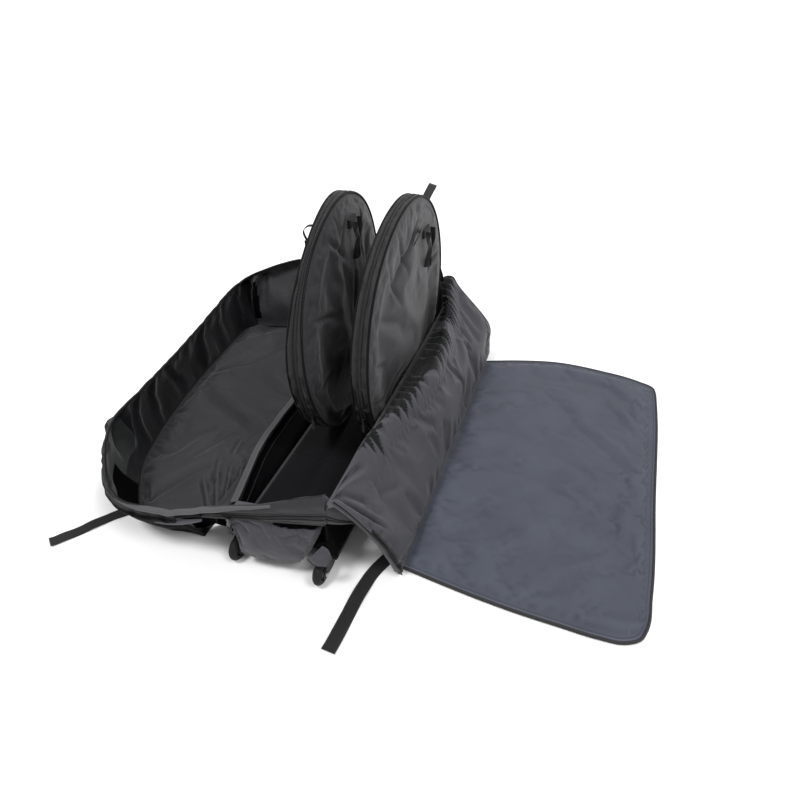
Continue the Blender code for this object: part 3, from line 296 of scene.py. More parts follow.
def ribbon(path, across, width, thick, edge=0.25):
    """Flat webbing along a path, with rounded edges. Across is a way or one for each point."""
    along = unit(np.gradient(path, axis=0))
    across = np.broadcast_to(np.asarray(across, float), path.shape)
    across = unit(across - along * (across * along).sum(1, keepdims=True))
    over = np.cross(along, across)
    w, t = width / 2, thick / 2
    half = np.array([(-w, -t * edge), (-w + t, -t), (-w / 2, -t), (0, -t), (w / 2, -t), (w - t, -t),
                     (w, -t * edge)])
    outline = np.concatenate([half, -half])
    return rings(np.stack([path + across * a + over * b for a, b in outline], axis=1))


def merged(parts):
    starts = np.cumsum([0] + [len(part[0]) for part in parts])
    faces = [part[1] + start for part, start in zip(parts, starts)]
    return (np.concatenate([part[0] for part in parts]), np.concatenate(faces),
            np.concatenate([part[2] for part in parts]))


def stitches(path, up, pitch=0.004, radius=0.0006):
    """A row of thread dashes along a path, half sunk in what they sew."""
    count = max(2, int(gaps(path).sum() / pitch))
    fine = resample(path, count * 4 + 1)
    thick = radius * np.array([0.5, 1.0, 1.0, 0.5])
    return merged([tube(fine[4 * k: 4 * k + 4], thick, up, 5) for k in range(count)])


def linked(name, data):
    """A new object in the scene."""
    obj = bpy.data.objects.new(name, data)
    bpy.context.scene.collection.objects.link(obj)
    return obj


def build(name, parts, materials, body=None, nodes="", at=None):
    """One object from parts; each takes the material of its place in the list, or its own faces'."""
    points, faces, places = merged(parts)
    if at is not None:
        place = np.array(at)
        points = points @ place[:3, :3].T + place[:3, 3]
    data = bpy.data.meshes.new(name)
    clean = [list(dict.fromkeys(face)) for face in faces.tolist()]
    data.from_pydata(points.tolist(), [], clean)
    flat = [uv for face, place in zip(clean, places.tolist()) for uv in place[: len(face)]]
    layer = data.uv_layers.new(name="metres")
    layer.data.foreach_set("uv", np.array(flat, np.float32).ravel())
    index = np.concatenate([part[3] if len(part) > 3 else np.full(len(part[1]), k)
                            for k, part in enumerate(parts)])
    for made in materials:
        data.materials.append(made)
    data.polygons.foreach_set("material_index", np.minimum(index, len(materials) - 1).tolist())
    data.shade_smooth()
    data.set_sharp_from_angle(angle=SHARP_ANGLE)
    work = bmesh.new()
    work.from_mesh(data)
    bmesh.ops.recalc_face_normals(work, faces=work.faces)
    work.to_mesh(data)
    work.free()
    obj = linked(name, data)
    if body:
        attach(obj, body)
    if nodes:
        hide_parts(*nodes.split())
    return obj


# Cloth simulation: open sheets held at their borders, cut a little too large

SIM_FRAMES = 16
FABRIC = {
    "quality": 5, "mass": 0.25, "tension_stiffness": 14.0, "compression_stiffness": 14.0,
    "shear_stiffness": 5.0, "tension_damping": 8.0, "compression_damping": 8.0,
    "vertex_group_mass": "held", "pin_stiffness": 1.0,
}


def spread_out(values, shape, coarse):
    """Values held at one place in so many of a grid, read off smoothly at all its places."""
    for count in shape:
        knots = np.arange(float(len(values))) * coarse
        at = np.clip(np.arange(count), 0, knots[-1])
        values = through(values, knots, at).transpose(1, 0, 2)
    return values


def settled(grid, hold, grow, cap, coarse=2, stiff=0.35, weight=0.0):
    """The grid after its fabric, cut a little too large, has been let go between its held places."""
    rough, held = grid[::coarse, ::coarse], np.clip(hold[::coarse, ::coarse], 0, 1)
    index = np.arange(held.size).reshape(held.shape)
    faces, _ = quads(index, np.zeros(held.shape + (2,)))
    data = bpy.data.meshes.new("cloth")
    data.from_pydata(rough.reshape(-1, 3).tolist(), [], faces.tolist())
    obj = linked("cloth", data)
    group = obj.vertex_groups.new(name="held")
    for k, share in enumerate(held.ravel().tolist()):
        group.add([k], share, "REPLACE")
    sheet = obj.modifiers.new("cloth", "CLOTH")
    for key, value in FABRIC.items():
        setattr(sheet.settings, key, value)
    sheet.settings.bending_stiffness = stiff
    sheet.settings.shrink_min = sheet.settings.shrink_max = -grow
    sheet.settings.effector_weights.gravity = weight
    sheet.point_cache.frame_start = 1
    sheet.point_cache.frame_end = SIM_FRAMES
    scene = bpy.context.scene
    for number in range(1, SIM_FRAMES + 1):
        scene.frame_set(number)
    shape = obj.evaluated_get(bpy.context.evaluated_depsgraph_get()).data
    after = np.empty(len(shape.vertices) * 3, np.float32)
    shape.vertices.foreach_get("co", after)
    moved = after.reshape(rough.shape).astype(float) - rough
    scene.frame_set(1)
    bpy.data.objects.remove(obj)
    bpy.data.meshes.remove(data)
    far = np.linalg.norm(moved, axis=-1, keepdims=True)
    moved = moved * np.minimum(1.0, cap / np.maximum(far, 1e-9)) * (1 - held ** 4)[..., None]
    return grid + spread_out(moved, grid.shape[:2], coarse)


# Materials

def started(name):
    made = bpy.data.materials.new(name)
    made.use_nodes = True
    return made, made.node_tree, made.node_tree.nodes["Principled BSDF"]


def feed(tree, node, inputs):
    """Sets a node's inputs, or links them where another node's output is given."""
    for key, value in inputs.items():
        if isinstance(value, bpy.types.NodeSocket):
            tree.links.new(value, node.inputs[key])
        else:
            node.inputs[key].default_value = value


def add(tree, kind, inputs=None, **settings):
    node = tree.nodes.new(kind)
    for key, value in settings.items():
        setattr(node, key, value)
    feed(tree, node, inputs or {})
    return node


def calculate(tree, operation, a, b):
    return add(tree, "ShaderNodeMath", {0: a, 1: b}, operation=operation).outputs[0]


def scaled(tree, colour, factor):
    made = add(tree, "ShaderNodeVectorMath", {0: colour, "Scale": factor}, operation="SCALE")
    return made.outputs["Vector"]


def summed(tree, a, b):
    return add(tree, "ShaderNodeVectorMath", {0: a, 1: b}, operation="ADD").outputs["Vector"]


def ranged(tree, value, low, high, start=0.0, end=1.0):
    """Low where the value is at its start, and high where it is at its end."""
    return add(tree, "ShaderNodeMapRange", {"Value": value, "From Min": start, "From Max": end,
                                            "To Min": low, "To Max": high}).outputs[0]


def bands(tree, where, way, pitch):
    """Even ridges along one way of the UV map, from 0 to 1."""
    return add(tree, "ShaderNodeTexWave", {"Vector": where, "Scale": math.pi / (10 * pitch)},
               bands_direction=way).outputs["Fac"]


def grain(tree, where, scale, detail=4.0, distortion=0.0):
    return add(tree, "ShaderNodeTexNoise", {"Vector": where, "Scale": scale, "Detail": detail,
                                            "Distortion": distortion}).outputs["Fac"]


def ramp(tree, factor, low, high, start=0.3, end=0.7):
    made = add(tree, "ShaderNodeValToRGB", {"Fac": factor})
    for stop, place, colour in zip(made.color_ramp.elements, (start, end), (low, high)):
        stop.position = place
        stop.color = (*colour, 1.0)
    return made.outputs["Color"]


def shade(colour, share):
    return tuple(min(1.0, c * share) for c in colour)


def bumped(tree, height, strength, distance, after=None):
    inputs = {"Height": height, "Strength": strength, "Distance": distance}
    if after is not None:
        inputs["Normal"] = after
    return add(tree, "ShaderNodeBump", inputs).outputs["Normal"]


def cloth(name, colour, mottle=0.14, crumple=0.30, gloss=0.20, sheen=0.12, pale_ridge_share=0.45,
          pitch=0.0012, mottle_scale=7.0):
    """Woven fabric: threads both ways, patches of colour, crumples, painted shade in concave creases and
    paler convex ridges.
    """
    made, tree, shader = started(name)
    where = add(tree, "ShaderNodeTexCoord")
    uv, place = where.outputs["UV"], where.outputs["Object"]
    threads = calculate(tree, "MAXIMUM", bands(tree, uv, "X", pitch), bands(tree, uv, "Y", pitch))
    patches = grain(tree, place, mottle_scale, 5.0, 0.4)
    base = ramp(tree, patches, shade(colour, 1 - mottle), shade(colour, 1 + mottle))
    pointiness = add(tree, "ShaderNodeNewGeometry").outputs["Pointiness"]
    # Darker between the threads, and darker still where the surface is concave: painted shade in the
    # creases.
    dark = scaled(tree, scaled(tree, base, ranged(tree, threads, 0.82, 1.0)),
                  ranged(tree, pointiness, 0.35, 1.0, 0.44, 0.50))
    # Paler where the surface is convex, on the ridges.
    pale = ramp(tree, pointiness, (0, 0, 0), shade(colour, pale_ridge_share), 0.51, 0.57)
    folds = bumped(tree, grain(tree, place, 34.0, 6.0, 1.2), crumple, 0.006)
    feed(tree, shader, {
        "Base Color": summed(tree, dark, pale),
        "Normal": bumped(tree, threads, 0.5, 0.00022, folds),
        "Roughness": ranged(tree, patches, 0.51, 0.64),
        "Sheen Weight": sheen, "Sheen Roughness": 0.45, "Specular IOR Level": gloss})
    return made


def webbing(name, colour, pitch=0.0022):
    """Ribbed webbing: cross ribs, a finer twill over them and faint blotches."""
    made, tree, shader = started(name)
    where = add(tree, "ShaderNodeTexCoord")
    uv, place = where.outputs["UV"], where.outputs["Object"]
    twill = bands(tree, uv, "DIAGONAL", pitch * 0.7)
    both = calculate(tree, "ADD", bands(tree, uv, "X", pitch), calculate(tree, "MULTIPLY", twill, 0.5))
    base = ramp(tree, grain(tree, place, 18.0), shade(colour, 0.85), shade(colour, 1.2))
    feed(tree, shader, {
        "Base Color": scaled(tree, base, ranged(tree, both, 0.7, 1.0)),
        "Normal": bumped(tree, both, 0.8, 0.0005),
        "Roughness": 0.7, "Sheen Weight": 0.1, "Specular IOR Level": 0.25})
    return made


def plastic(name, colour, rough=0.45, scale=900.0, bump=0.15):
    """Moulded plastic or rubber: fine grain, faint blotches and scuffed edges."""
    made, tree, shader = started(name)
    place = add(tree, "ShaderNodeTexCoord").outputs["Object"]
    blotch = grain(tree, place, 30.0)
    base = ramp(tree, blotch, shade(colour, 0.8), shade(colour, 1.25))
    pointiness = add(tree, "ShaderNodeNewGeometry").outputs["Pointiness"]
    feed(tree, shader, {
        "Base Color": summed(tree, base, ramp(tree, pointiness, (0, 0, 0), (0.015,) * 3, 0.53, 0.62)),
        "Normal": bumped(tree, grain(tree, place, scale, 2.0), bump, 0.0004),
        "Roughness": ranged(tree, blotch, rough - 0.08, rough + 0.1), "Specular IOR Level": 0.22})
    return made


def metal(name, colour, rough=0.3):
    made, tree, shader = started(name)
    place = add(tree, "ShaderNodeTexCoord").outputs["Object"]
    stretched = add(tree, "ShaderNodeMapping", {"Vector": place, "Scale": (60.0, 900.0, 900.0)})
    lines = grain(tree, stretched.outputs[0], 1.0, 3.0)
    feed(tree, shader, {
        "Base Color": ramp(tree, lines, shade(colour, 0.8), colour),
        "Roughness": ranged(tree, lines, rough - 0.08, rough + 0.12), "Metallic": 1.0})
    return made


FLOOR_CLOTH = cloth("lining_cloth", (0.023, 0.023, 0.0255), 0.12, 0.35)
WALL_CLOTH = cloth("wall_cloth", (0.0085, 0.0085, 0.0100), 0.3, 0.4, gloss=0.03, pale_ridge_share=0.0)
BLACK_CLOTH = cloth("black_cloth", (0.0022, 0.0022, 0.0026), 0.2, 0.4, gloss=0.02, sheen=0.0)
# A lighter copy of the wall cloth for the far wall: painted light, where the far wall faces the lamps.
FAR_CLOTH = cloth("far_wall_lit_cloth", (0.021, 0.021, 0.0235), 0.15, 0.4)
RIM_CLOTH = cloth("rim_band_cloth", (0.022, 0.0245, 0.0250), 0.12)
# Near-black cloth for the shoulder's gathered band: painted shade in the trough by the bag.
DARK_CLOTH = cloth("gather_shade_cloth", (0.008, 0.0085, 0.0085), 0.2, 0.4, gloss=0.06)
STRIP_CLOTH = cloth("strip_cloth", (0.024, 0.024, 0.0262), 0.12)
GREY_CLOTH = cloth("grey_cloth", (0.045, 0.045, 0.0530), 0.08, 0.22)
PALE_CLOTH = cloth("pale_band_cloth", (0.060, 0.060, 0.064), 0.1, 0.15)
BAG_CLOTH = cloth("bag_cloth", (0.037, 0.037, 0.0405), 0.10, 0.22)
GUSSET_CLOTH = cloth("gusset_cloth", (0.015, 0.015, 0.016), 0.15, 0.5)
LID_CLOTH = cloth("lid_cloth", (0.053, 0.059, 0.079), 0.11, 0.2, mottle_scale=9.0)
PAD_CLOTH = cloth("pad_cloth", (0.006, 0.006, 0.007), gloss=0.06, sheen=0.05)
PIPING = cloth("piping_cloth", (0.0045, 0.0045, 0.005), gloss=0.06, sheen=0.05, pitch=0.0008)
WEBBING = webbing("strap_webbing", (0.0095, 0.0095, 0.0105))
PALE_WEBBING = webbing("pale_webbing", (0.034, 0.034, 0.037))
TAPE = webbing("zip_tape", (0.013, 0.013, 0.014), 0.0016)
CORD = webbing("pull_cord", (0.020, 0.020, 0.022), 0.0012)
PALE_CORD = webbing("pale_pull_cord", (0.12, 0.12, 0.12), 0.0012)
TEETH = plastic("zip_teeth", (0.005, 0.005, 0.0055), 0.35)
THREAD = plastic("thread", (0.022, 0.022, 0.024), 0.6)
HOUSING = plastic("housing_plastic", (0.0025, 0.0025, 0.0027))
BOARD = plastic("board_plastic", (0.014, 0.014, 0.015), 0.6, 400.0)
RUBBER = plastic("tyre_rubber", (0.0025, 0.0025, 0.0027), 0.6, 500.0, 0.3)
STEEL = metal("axle_steel", (0.45, 0.45, 0.46))
BLACK_METAL = metal("slider_metal", (0.05, 0.05, 0.054), 0.35)

HARD_PARTS = {
    "skid_tray left_wheel_housing right_wheel_housing": HOUSING,
    "base_board left_wheel_hub right_wheel_hub": BOARD,
    "rear_foot left_wheel_tyre right_wheel_tyre": RUBBER,
    "left_wheel_bearing right_wheel_bearing left_wheel_axle_bolt right_wheel_axle_bolt": STEEL,
    "left_bag_slider right_bag_slider main_zip_slider": BLACK_METAL,
}


def dress_hard_parts():
    """Hard CAD nodes keep their shapes and get better materials."""
    for names, made in HARD_PARTS.items():
        for name in names.split():
            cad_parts[name].material_slots[0].material = made


# Left half shell: floor, walls, rim and strap

FLOOR_SHARES = [
    (0.000, 0.000), (0.440, 0.000), (0.600, 0.060), (0.740, 0.150), (0.840, 0.280),
    (0.910, 0.430), (0.965, 0.620), (0.990, 0.790), (1.000, 0.900), (0.950, 0.935),
    (0.790, 0.950), (0.600, 0.975), (0.330, 1.000), (0.000, 1.000),
]
WALL_SHARES = [
    (0.34, 0.45, 0.74), (0.29, 0.37, 0.68), (0.22, 0.21, 0.80), (0.18, 0.18, 0.80),
    (0.11, 0.105, 0.73), (0.08, 0.08, 0.68), (0.08, 0.08, 0.68), (0.11, 0.105, 0.74),
    (0.15, 0.16, 0.76), (0.25, 0.32, 0.83), (0.34, 0.53, 0.95), (0.38, 0.79, 1.00),
    (0.38, 0.84, 1.06), (0.36, 0.80, 1.12),
]
SHELL_OUTLINE = np.array([
    (SHELL_HINGE - a * SHELL_WIDTH, SHELL_NEAR + b * SHELL_LENGTH) for a, b in FLOOR_SHARES])
# Folds of the walls: place along the rim, width, depth and lean
FOLDS = [
    (0.74, 0.022, -0.008, 0.05), (0.92, 0.020, 0.007, -0.06), (1.10, 0.022, -0.008, 0.06),
    (1.30, 0.020, 0.007, 0.03), (1.42, 0.018, -0.008, 0.05), (1.74, 0.014, -0.007, 0.05),
    (1.88, 0.018, 0.008, -0.03), (2.02, 0.012, -0.006, 0.03), (0.62, 0.014, -0.008, 0.07),
]
TUCK = [(1.495, 0.030, 0.030, 0), (1.545, 0.016, -0.036, 0), (1.590, 0.020, 0.018, 0)]
TURN = [(0.55, 0.018, -0.024, 0.05), (0.49, 0.026, 0.022, 0.05)]
NEAR_DENT = [(0.30, 0.035, -0.014, 0)]


def wall_controls():
    """The wall's inner line at each place of the floor's edge, floor to rim, and its outward way."""
    wide = np.pad(SHELL_OUTLINE, [(1, 1), (0, 0)], "edge")
    along = wide[2:] - wide[:-2]
    ways = unit(joined(-along[:, 1], along[:, 0], 0.0))
    ways[:2] = -ALONG
    ways[-2:] = ALONG
    low, high, tall = np.array(WALL_SHARES).T
    rim = SHELL_HEIGHT * tall
    lean = joined(0.0003, low * SHELL_LEAN, high * SHELL_LEAN + 0.002, high * SHELL_LEAN)
    z = joined(0.003, rim * 0.64, rim * 0.84, rim)
    flat = SHELL_OUTLINE[:, None] + ways[:, None, :2] * lean[..., None]
    return np.concatenate([flat, z[..., None]], axis=-1), ways


def shell_walls():
    rows, ways = wall_controls()
    count, high = 401, 36
    knots = reach(rows[:, 3])
    ways = unit(resample(ways, count, knots))
    inner = crosswise(resample(rows, count, knots), high, [0, 1, 1.6, 2.2])
    s, t = field((0, knots[-1], count), (0, 1, high))
    z = inner[..., 2]
    flat = joined(s + 0.35 * z, z)
    body = step(t, 0.02, 0.30) * (1 - 0.75 * step(t, 0.80, 1.0))
    wedge = between(t, 0.05, 0.5, 0.80, 0.97)
    push = 0.0120 * body * layered(flat, (0.24, 0.26), 3, 2)
    push += 0.0014 * step(t, 0.74, 0.95) * noise(flat, (0.020, 0.5), 11)
    for mask, table in ((body, FOLDS), (wedge, TUCK), (between(t, 0.1, 0.4, 0.75, 1), TURN),
                        (between(t, 0.0, 0.3, 0.6, 0.9), NEAR_DENT)):
        for place, width, deep, lean in table:
            push += deep * mask * hump(s - place - lean * t, 0, width)
    push += 0.0050 * wedge * step(s, 1.60, 1.66) * noise(flat, (0.040, 0.060), 13)
    inner = inner + ways[:, None] * push[..., None]
    hold = 1 - between(t, 0.0, 0.12, 0.82, 0.94) + 1 - between(s, 0, 0.03, knots[-1] - 0.03, knots[-1])
    inner = settled(inner, hold + 0.08, 0.014, 0.014, 3, 6.0, weight=0.3)
    thick = 0.0100 - 0.0035 * step(t, 0.80, 1.0) + 0.0018 * noise(flat, 0.03, 21)
    return inner, inner + ways[:, None] * thick[..., None], ways, s, t


def make_shell():
    inner, outer, ways, s, t = shell_walls()
    band = (t > np.where(s < 0.42, 0.36, 0.16)) & (s > 0.27) & (s < 0.56)
    # Black cloth here is painted shade: below the near rim's lip, in the far corner's deep fold, and on
    # the outer side of the near wall.
    hollow = (t < 0.36) & (s > 0.25) & (s < 0.42)
    fold = (np.abs(s - 1.545) < 0.022 * (1.1 - t)) & (t > 0.10) & (t < 0.80)
    # The far wall (s > 1.542) takes the lighter far wall cloth, painted light.
    front = np.select([hollow | fold, band, s > 1.542], [3, 2, 1], 0)
    build("left_shell_walls", [patched(panel(inner, outer), front, 3 * (s < 0.5))],
          [WALL_CLOTH, FAR_CLOTH, RIM_CLOTH, BLACK_CLOTH], "left_shell",
          "left_near_gusset left_outer_gusset left_far_gusset")

    top = (inner[:, -1] + outer[:, -1]) / 2
    tape = panel(outer[:, -6:] + ways[:, None] * 0.0016, outer[:, -6:] + ways[:, None] * 0.0003)
    teeth = coil(top + UP * 0.0034, 0.0032, 0.0062)
    cord = tube(top - ways * 0.0040 + UP * 0.0012, 0.0022)
    cord_out = tube(outer[:, -6] + ways * 0.0018, 0.0016, sides=6)
    build("left_rim_zip_tape", [tape, teeth, cord, cord_out], [TAPE, TEETH, PIPING, PIPING],
          "left_shell", "left_rim_zip")
    make_rim_roll(top, ways, s[:, 0])
    make_shell_floor(inner[:, 0])


ROLL_TAIL = [
    (-0.250, -1.150, 0.194), (-0.208, -1.146, 0.208), (-0.158, -1.138, 0.2226),
    (-0.109, -1.1326, 0.2374), (-0.062, -1.1272, 0.2522), (-0.016, -1.122, 0.268),
    (0.019, -1.118, 0.280),
]
SECOND_ROLL = [
    (-0.390, -1.142, 0.118), (-0.358, -1.150, 0.126), (-0.306, -1.152, 0.137),
    (-0.254, -1.152, 0.153), (-0.210, -1.150, 0.172), (-0.182, -1.146, 0.184),
]


def make_rim_roll(top, ways, s):
    """The near rim's two rolled layers of fabric, which run on along the bag's front zip."""
    keep = (s < 0.20) & (s > 0.015)
    path = resample(np.concatenate([top[keep][::-1] + ways[keep][::-1] * 0.004, ROLL_TAIL]), 150)
    path[:, 2] += 0.0018 * noise(path[:, :1], 0.035, 25)
    share = np.linspace(0, 1, 150)
    size = step(share, 0.0, 0.25) * (1 - 0.62 * step(share, 0.55, 1.0))
    first = tube(path, 0.0012 + 0.0080 * size, sides=14, flat=0.85)
    low = resample(SECOND_ROLL, 90)
    low[:, 2] += 0.0016 * noise(low[:, :1], 0.03, 26)
    size = np.sin(math.pi * np.linspace(0.03, 0.97, 90)) ** 0.5
    second = tube(low, 0.0010 + 0.0068 * size, sides=12)
    line = resample((path[45:105] + resample(low, 60)) / 2, 70)
    third = tube(line[line[:, 0] < -0.184] + (0, 0.004, 0), 0.0060)
    roll = build("near_rim_roll", [first, second, third], [PALE_CLOTH, GREY_CLOTH, PIPING])
    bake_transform(roll)


# Creases of cloth: start, end, width and depth
FLOOR_CREASES = [
    ((-0.275, -0.965), (-0.345, -0.800), 0.0060, 0.009),
    ((-0.285, -0.985), (-0.375, -0.840), 0.0060, 0.009),
    ((-0.300, -1.000), (-0.400, -0.880), 0.0055, 0.008),
    ((-0.270, -0.930), (-0.310, -0.780), 0.0065, 0.007),
    ((-0.335, -0.940), (-0.400, -0.780), 0.0080, 0.006),
    ((-0.355, -0.780), (-0.390, -0.660), 0.0070, 0.006),
    ((-0.500, -0.880), (-0.420, -0.620), 0.0200, 0.004),
    ((-0.360, -0.620), (-0.620, -0.500), 0.0240, 0.005),
    ((-0.320, -0.420), (-0.520, -0.300), 0.0260, 0.005),
    ((-0.600, -0.300), (-0.480, -0.050), 0.0220, 0.006),
    ((-0.700, -0.420), (-0.640, -0.300), 0.0100, 0.007),
    ((-0.690, -0.480), (-0.670, -0.340), 0.0090, 0.006),
    ((-0.643, -0.046), (-0.567, 0.024), 0.0060, 0.009),
    ((-0.690, -0.100), (-0.643, -0.046), 0.0070, 0.009),
]


def make_shell_floor(edge):
    """The floor panel, up to the foot of the walls, with its dents and creases."""
    order = np.argsort(edge[:, 1], kind="stable")
    along = np.linspace(edge[:, 1].min() + 0.0004, edge[:, 1].max() - 0.0004, 191)
    left = np.interp(along, edge[order, 1], edge[order, 0])
    left[0], left[-1] = left[1], left[-2]
    left = left[:, None]
    x = SHELL_HINGE + np.linspace(0, 1, 111) * (left - SHELL_HINGE)
    y = np.broadcast_to(along[:, None], x.shape)
    rim = np.minimum.reduce([SHELL_HINGE - x, x - left, y - along[0], along[-1] - y])
    z = 0.0060 + 0.0100 * step(rim, -0.006, 0.06)
    z = z + step(rim, 0, 0.05) * 0.0065 * layered(joined(x, y), 0.20, 41, 2)
    for a, b, w, d in FLOOR_CREASES:
        side = unit(np.array([b[1] - a[1], a[0] - b[0]])) * w * 1.5
        z = z - d * crease(x, y, a, b, w) + 0.8 * d * crease(x, y, a + side, b + side, w)
    top = settled(joined(x, y, z), 1 - step(rim, 0.004, 0.030) + 0.07, 0.022, 0.010, stiff=1.0)
    top[..., 2] = np.maximum(top[..., 2], 0.0022)
    seam = tube(edge[::3] + (0.003, 0, 0.008), 0.0024, sides=6)
    build("left_shell_floor", [panel(top, joined(x, y, 0.0006)), seam], [FLOOR_CLOTH, PIPING],
          "left_shell", "left_floor_panel")


def floor_strap(name, start, heading, shares, length, width, body, node, sewn):
    """Sewn webbing that lies on the floor; it rises a little in places and at its end."""
    way = np.array([math.cos(heading), math.sin(heading), 0.0])
    side = np.array([-way[1], way[0], 0.0])
    path = resample([start + way * length * u + side * length * v for u, v in shares], 90)
    far = np.linspace(0, 1, len(path))
    path[:, 2] += 0.0035 * np.sin(far * 9.0) ** 2 * step(far, 0.15, 0.4)
    path[:, 2] += 0.004 * step(far, 0.93, 1.0)
    along = np.gradient(path, axis=0)
    across = unit(joined(-along[:, 1], along[:, 0], 0.02 * np.sin(far * 11) * along[:, 0]))
    parts = [ribbon(path, across, width, 0.0020)]
    for edge in (-0.40, 0.40):
        parts.append(stitches(path + across * width * edge + UP * 0.0011, UP, 0.005, 0.0005))

    def corner(row, share):
        return path[row] + across[row] * width * share
    i, j = sewn
    for a, b in ((corner(i, -0.3), corner(j, 0.3)), (corner(i, 0.3), corner(j, -0.3)),
                 (corner(i, -0.3), corner(i, 0.3)), (corner(j, -0.3), corner(j, 0.3))):
        parts.append(stitches(np.linspace(a, b, 8) + UP * 0.0012, UP))
    strap = build(name, parts, [WEBBING, THREAD], body, node)


def make_left_strap():
    a, b = SHELL_OUTLINE[1], SHELL_OUTLINE[2]
    start = (a + b) / 2 + unit(np.array([a[1] - b[1], b[0] - a[0]])) * 0.003
    shares = [(0.0, 0.0), (0.17, -0.002), (0.33, -0.015), (0.51, -0.005), (0.69, 0.0),
              (0.85, 0.002), (1.0, 0.0)]
    floor_strap("left_strap_webbing", np.array([*start, 0.0013]), math.radians(233.0), shares,
                0.260, 0.0361, "left_shell", "left_strap", (14, 24))


# Base: pad, walls, rim, near end

def make_base_pad():
    half, near, far = 0.1435, -1.042, 0.0724
    gx, gy = field((-half, half, 50), (near, far, 190))
    edge = np.minimum(half - np.abs(gx), np.minimum(gy - near, far - gy))
    z = PAD_TOP - 0.0004 - 0.004 * (1 - step(edge, -0.003, 0.02))
    z = z - 0.0012 * (1 + layered(joined(gx, gy), 0.07, 61)) * step(edge, 0, 0.03)
    for line in (-0.72, -0.36, 0.0):
        z = z - 0.003 * hump(gy, line, 0.004)
    build("base_padding", [panel(joined(gx, gy, z), joined(gx, gy, 0.0558))], [PAD_CLOTH], "base",
          "base_pad")


def make_side_wall():
    gy, gt = field((-0.995, 0.058, 170), (0, 1, 34))
    z = WALL_FOOT + WALL_HEIGHT * gt
    wave = 0.004 * between(gt, 0, 0.3, 0.9, 1) * layered(joined(gy, z), (0.12, 0.16), 71)
    inner = 0.1443 + 0.013 * gt + np.minimum(wave, 0.0)
    outer = 0.1557 + 0.013 * gt - 0.003 * hump(gt, 1, 0.05) + 0.5 * np.maximum(wave, 0)
    # The side wall is all black cloth: painted shade inside the channel.
    build("right_side_wall_cloth", [panel(joined(inner, gy, z), joined(outer, gy, z))],
          [BLACK_CLOTH], "base", "right_side_wall")


def make_far_wall():
    half = HALF_BASE - 0.025
    gu, gt = field((-0.999, 0.999, 60), (0, 1, 60))
    x = gu * half
    z = WALL_FOOT + 0.42 * (0.62 + 0.38 * np.sqrt(1 - gu ** 2)) * gt
    wave = 0.004 * layered(joined(x, z), 0.12, 73) * step(gt, 0, 0.2)
    edge = 0.0035 * step(np.minimum(1 - np.abs(gu), (1 - gt) * 2), 0, 0.12)
    front = joined(x, 0.0765 - edge + np.minimum(wave, 0) * 0.5, z)
    back = joined(x, 0.0815 + edge + np.maximum(wave, 0), z)
    outline = (front + back) / 2
    rim = np.concatenate([outline[0, ::2], outline[1:, -1], outline[-1, ::-2][1:]])
    wall = build("far_end_wall_cloth", [panel(front, back), tube(rim, 0.0032, ALONG)],
                 [WALL_CLOTH, PIPING], "base", "far_end_wall")
    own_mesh(wall)


CREST_SHARES = [(0.00, 0.22), (0.10, 0.50), (0.24, 0.80), (0.42, 0.82), (0.60, 0.78), (1.00, 0.74)]


def rim_crest(share):
    fine = np.linspace(0, 1, 200)
    values = smoothed(np.interp(fine, *np.array(CREST_SHARES).T), 12, "edge")
    return RIM_RIGHT - RIM_WIDTH * np.interp(share, fine, values)


def make_rim_pad():
    count = 220
    share = np.linspace(0, 1, count)
    y = RIM_NEAR + (RIM_FAR - RIM_NEAR) * share
    crest = rim_crest(share)
    left, right, high = RIM_RIGHT - RIM_WIDTH, RIM_RIGHT, RIM_HEIGHT
    cap = RIM_WIDTH * 0.07
    grid = []
    for c, here in zip(crest, y):
        section = [(right, 0.004), (right, 0.052), (c + cap * 1.6, high * 0.86),
                   (c + cap * 0.8, high * 0.97), (c, high), (c - cap * 0.8, high * 0.95),
                   (left + (c - left) * 0.5, high * 0.60), (left + 0.001, high * 0.16),
                   (left + 0.001, 0.004)]
        x, z = closed_resample(section, 64).T
        grid.append(joined(x, here, np.maximum(z, 0.003)))
    grid = np.array(grid)
    x, gy, z = np.moveaxis(grid, -1, 0)
    flat = joined(gy, z + x)
    outside = step(crest[:, None] - x, -0.004, 0.010)
    lift = step(z, 0.02, 0.06) * (
        0.0035 * layered(flat, (0.14, 0.06), 81) - 0.003 * hump(z, 0.05, 0.012))
    lift += 0.0022 * step(z, 0.03, 0.07) * noise(flat, (0.022, 0.05), 82)
    near = outside * (1 - step(gy, -0.98, -0.80)) * step(z, 0.01, 0.03)
    lift += 0.0055 * near * ridged(joined(gy + 0.9 * z, z), (0.026, 0.3), 85)
    lift = np.where(x > right - 0.012, -np.abs(lift), lift)
    outward = unit((grid - grid.mean(axis=1, keepdims=True)) * (1, 0, 1))
    points, faces, places = rings(grid + outward * lift[..., None])
    centre = points[faces].mean(axis=1)
    # Faces on the channel side of the crest get black cloth: painted shade down in the channel.
    inside = centre[:, 0] > np.interp(centre[:, 1], y, crest) + 0.011
    build("left_rim_padding", [(points, faces, places, inside.astype(int))],
          [FLOOR_CLOTH, BLACK_CLOTH], "base", "left_rim_pad")

    line = joined(crest, y, high + 0.0015 + 0.0015 * noise(joined(y), 0.05, 84))
    second = line + (0.026, 0, -0.026)
    second[:, 0] = np.minimum(second[:, 0], RIM_RIGHT - 0.004)
    build("left_rim_binding", [ribbon(line, (1, 0, 0.15), 0.020, 0.005, 0.6),
                               tube(line + (0.0115, 0, -0.0025), 0.0026), tube(second, 0.0016)],
          [PALE_CLOTH, PIPING, WALL_CLOTH], "base", "left_rim_piping")


def strip_bottom(x):
    return 0.2082 + 0.15 * x


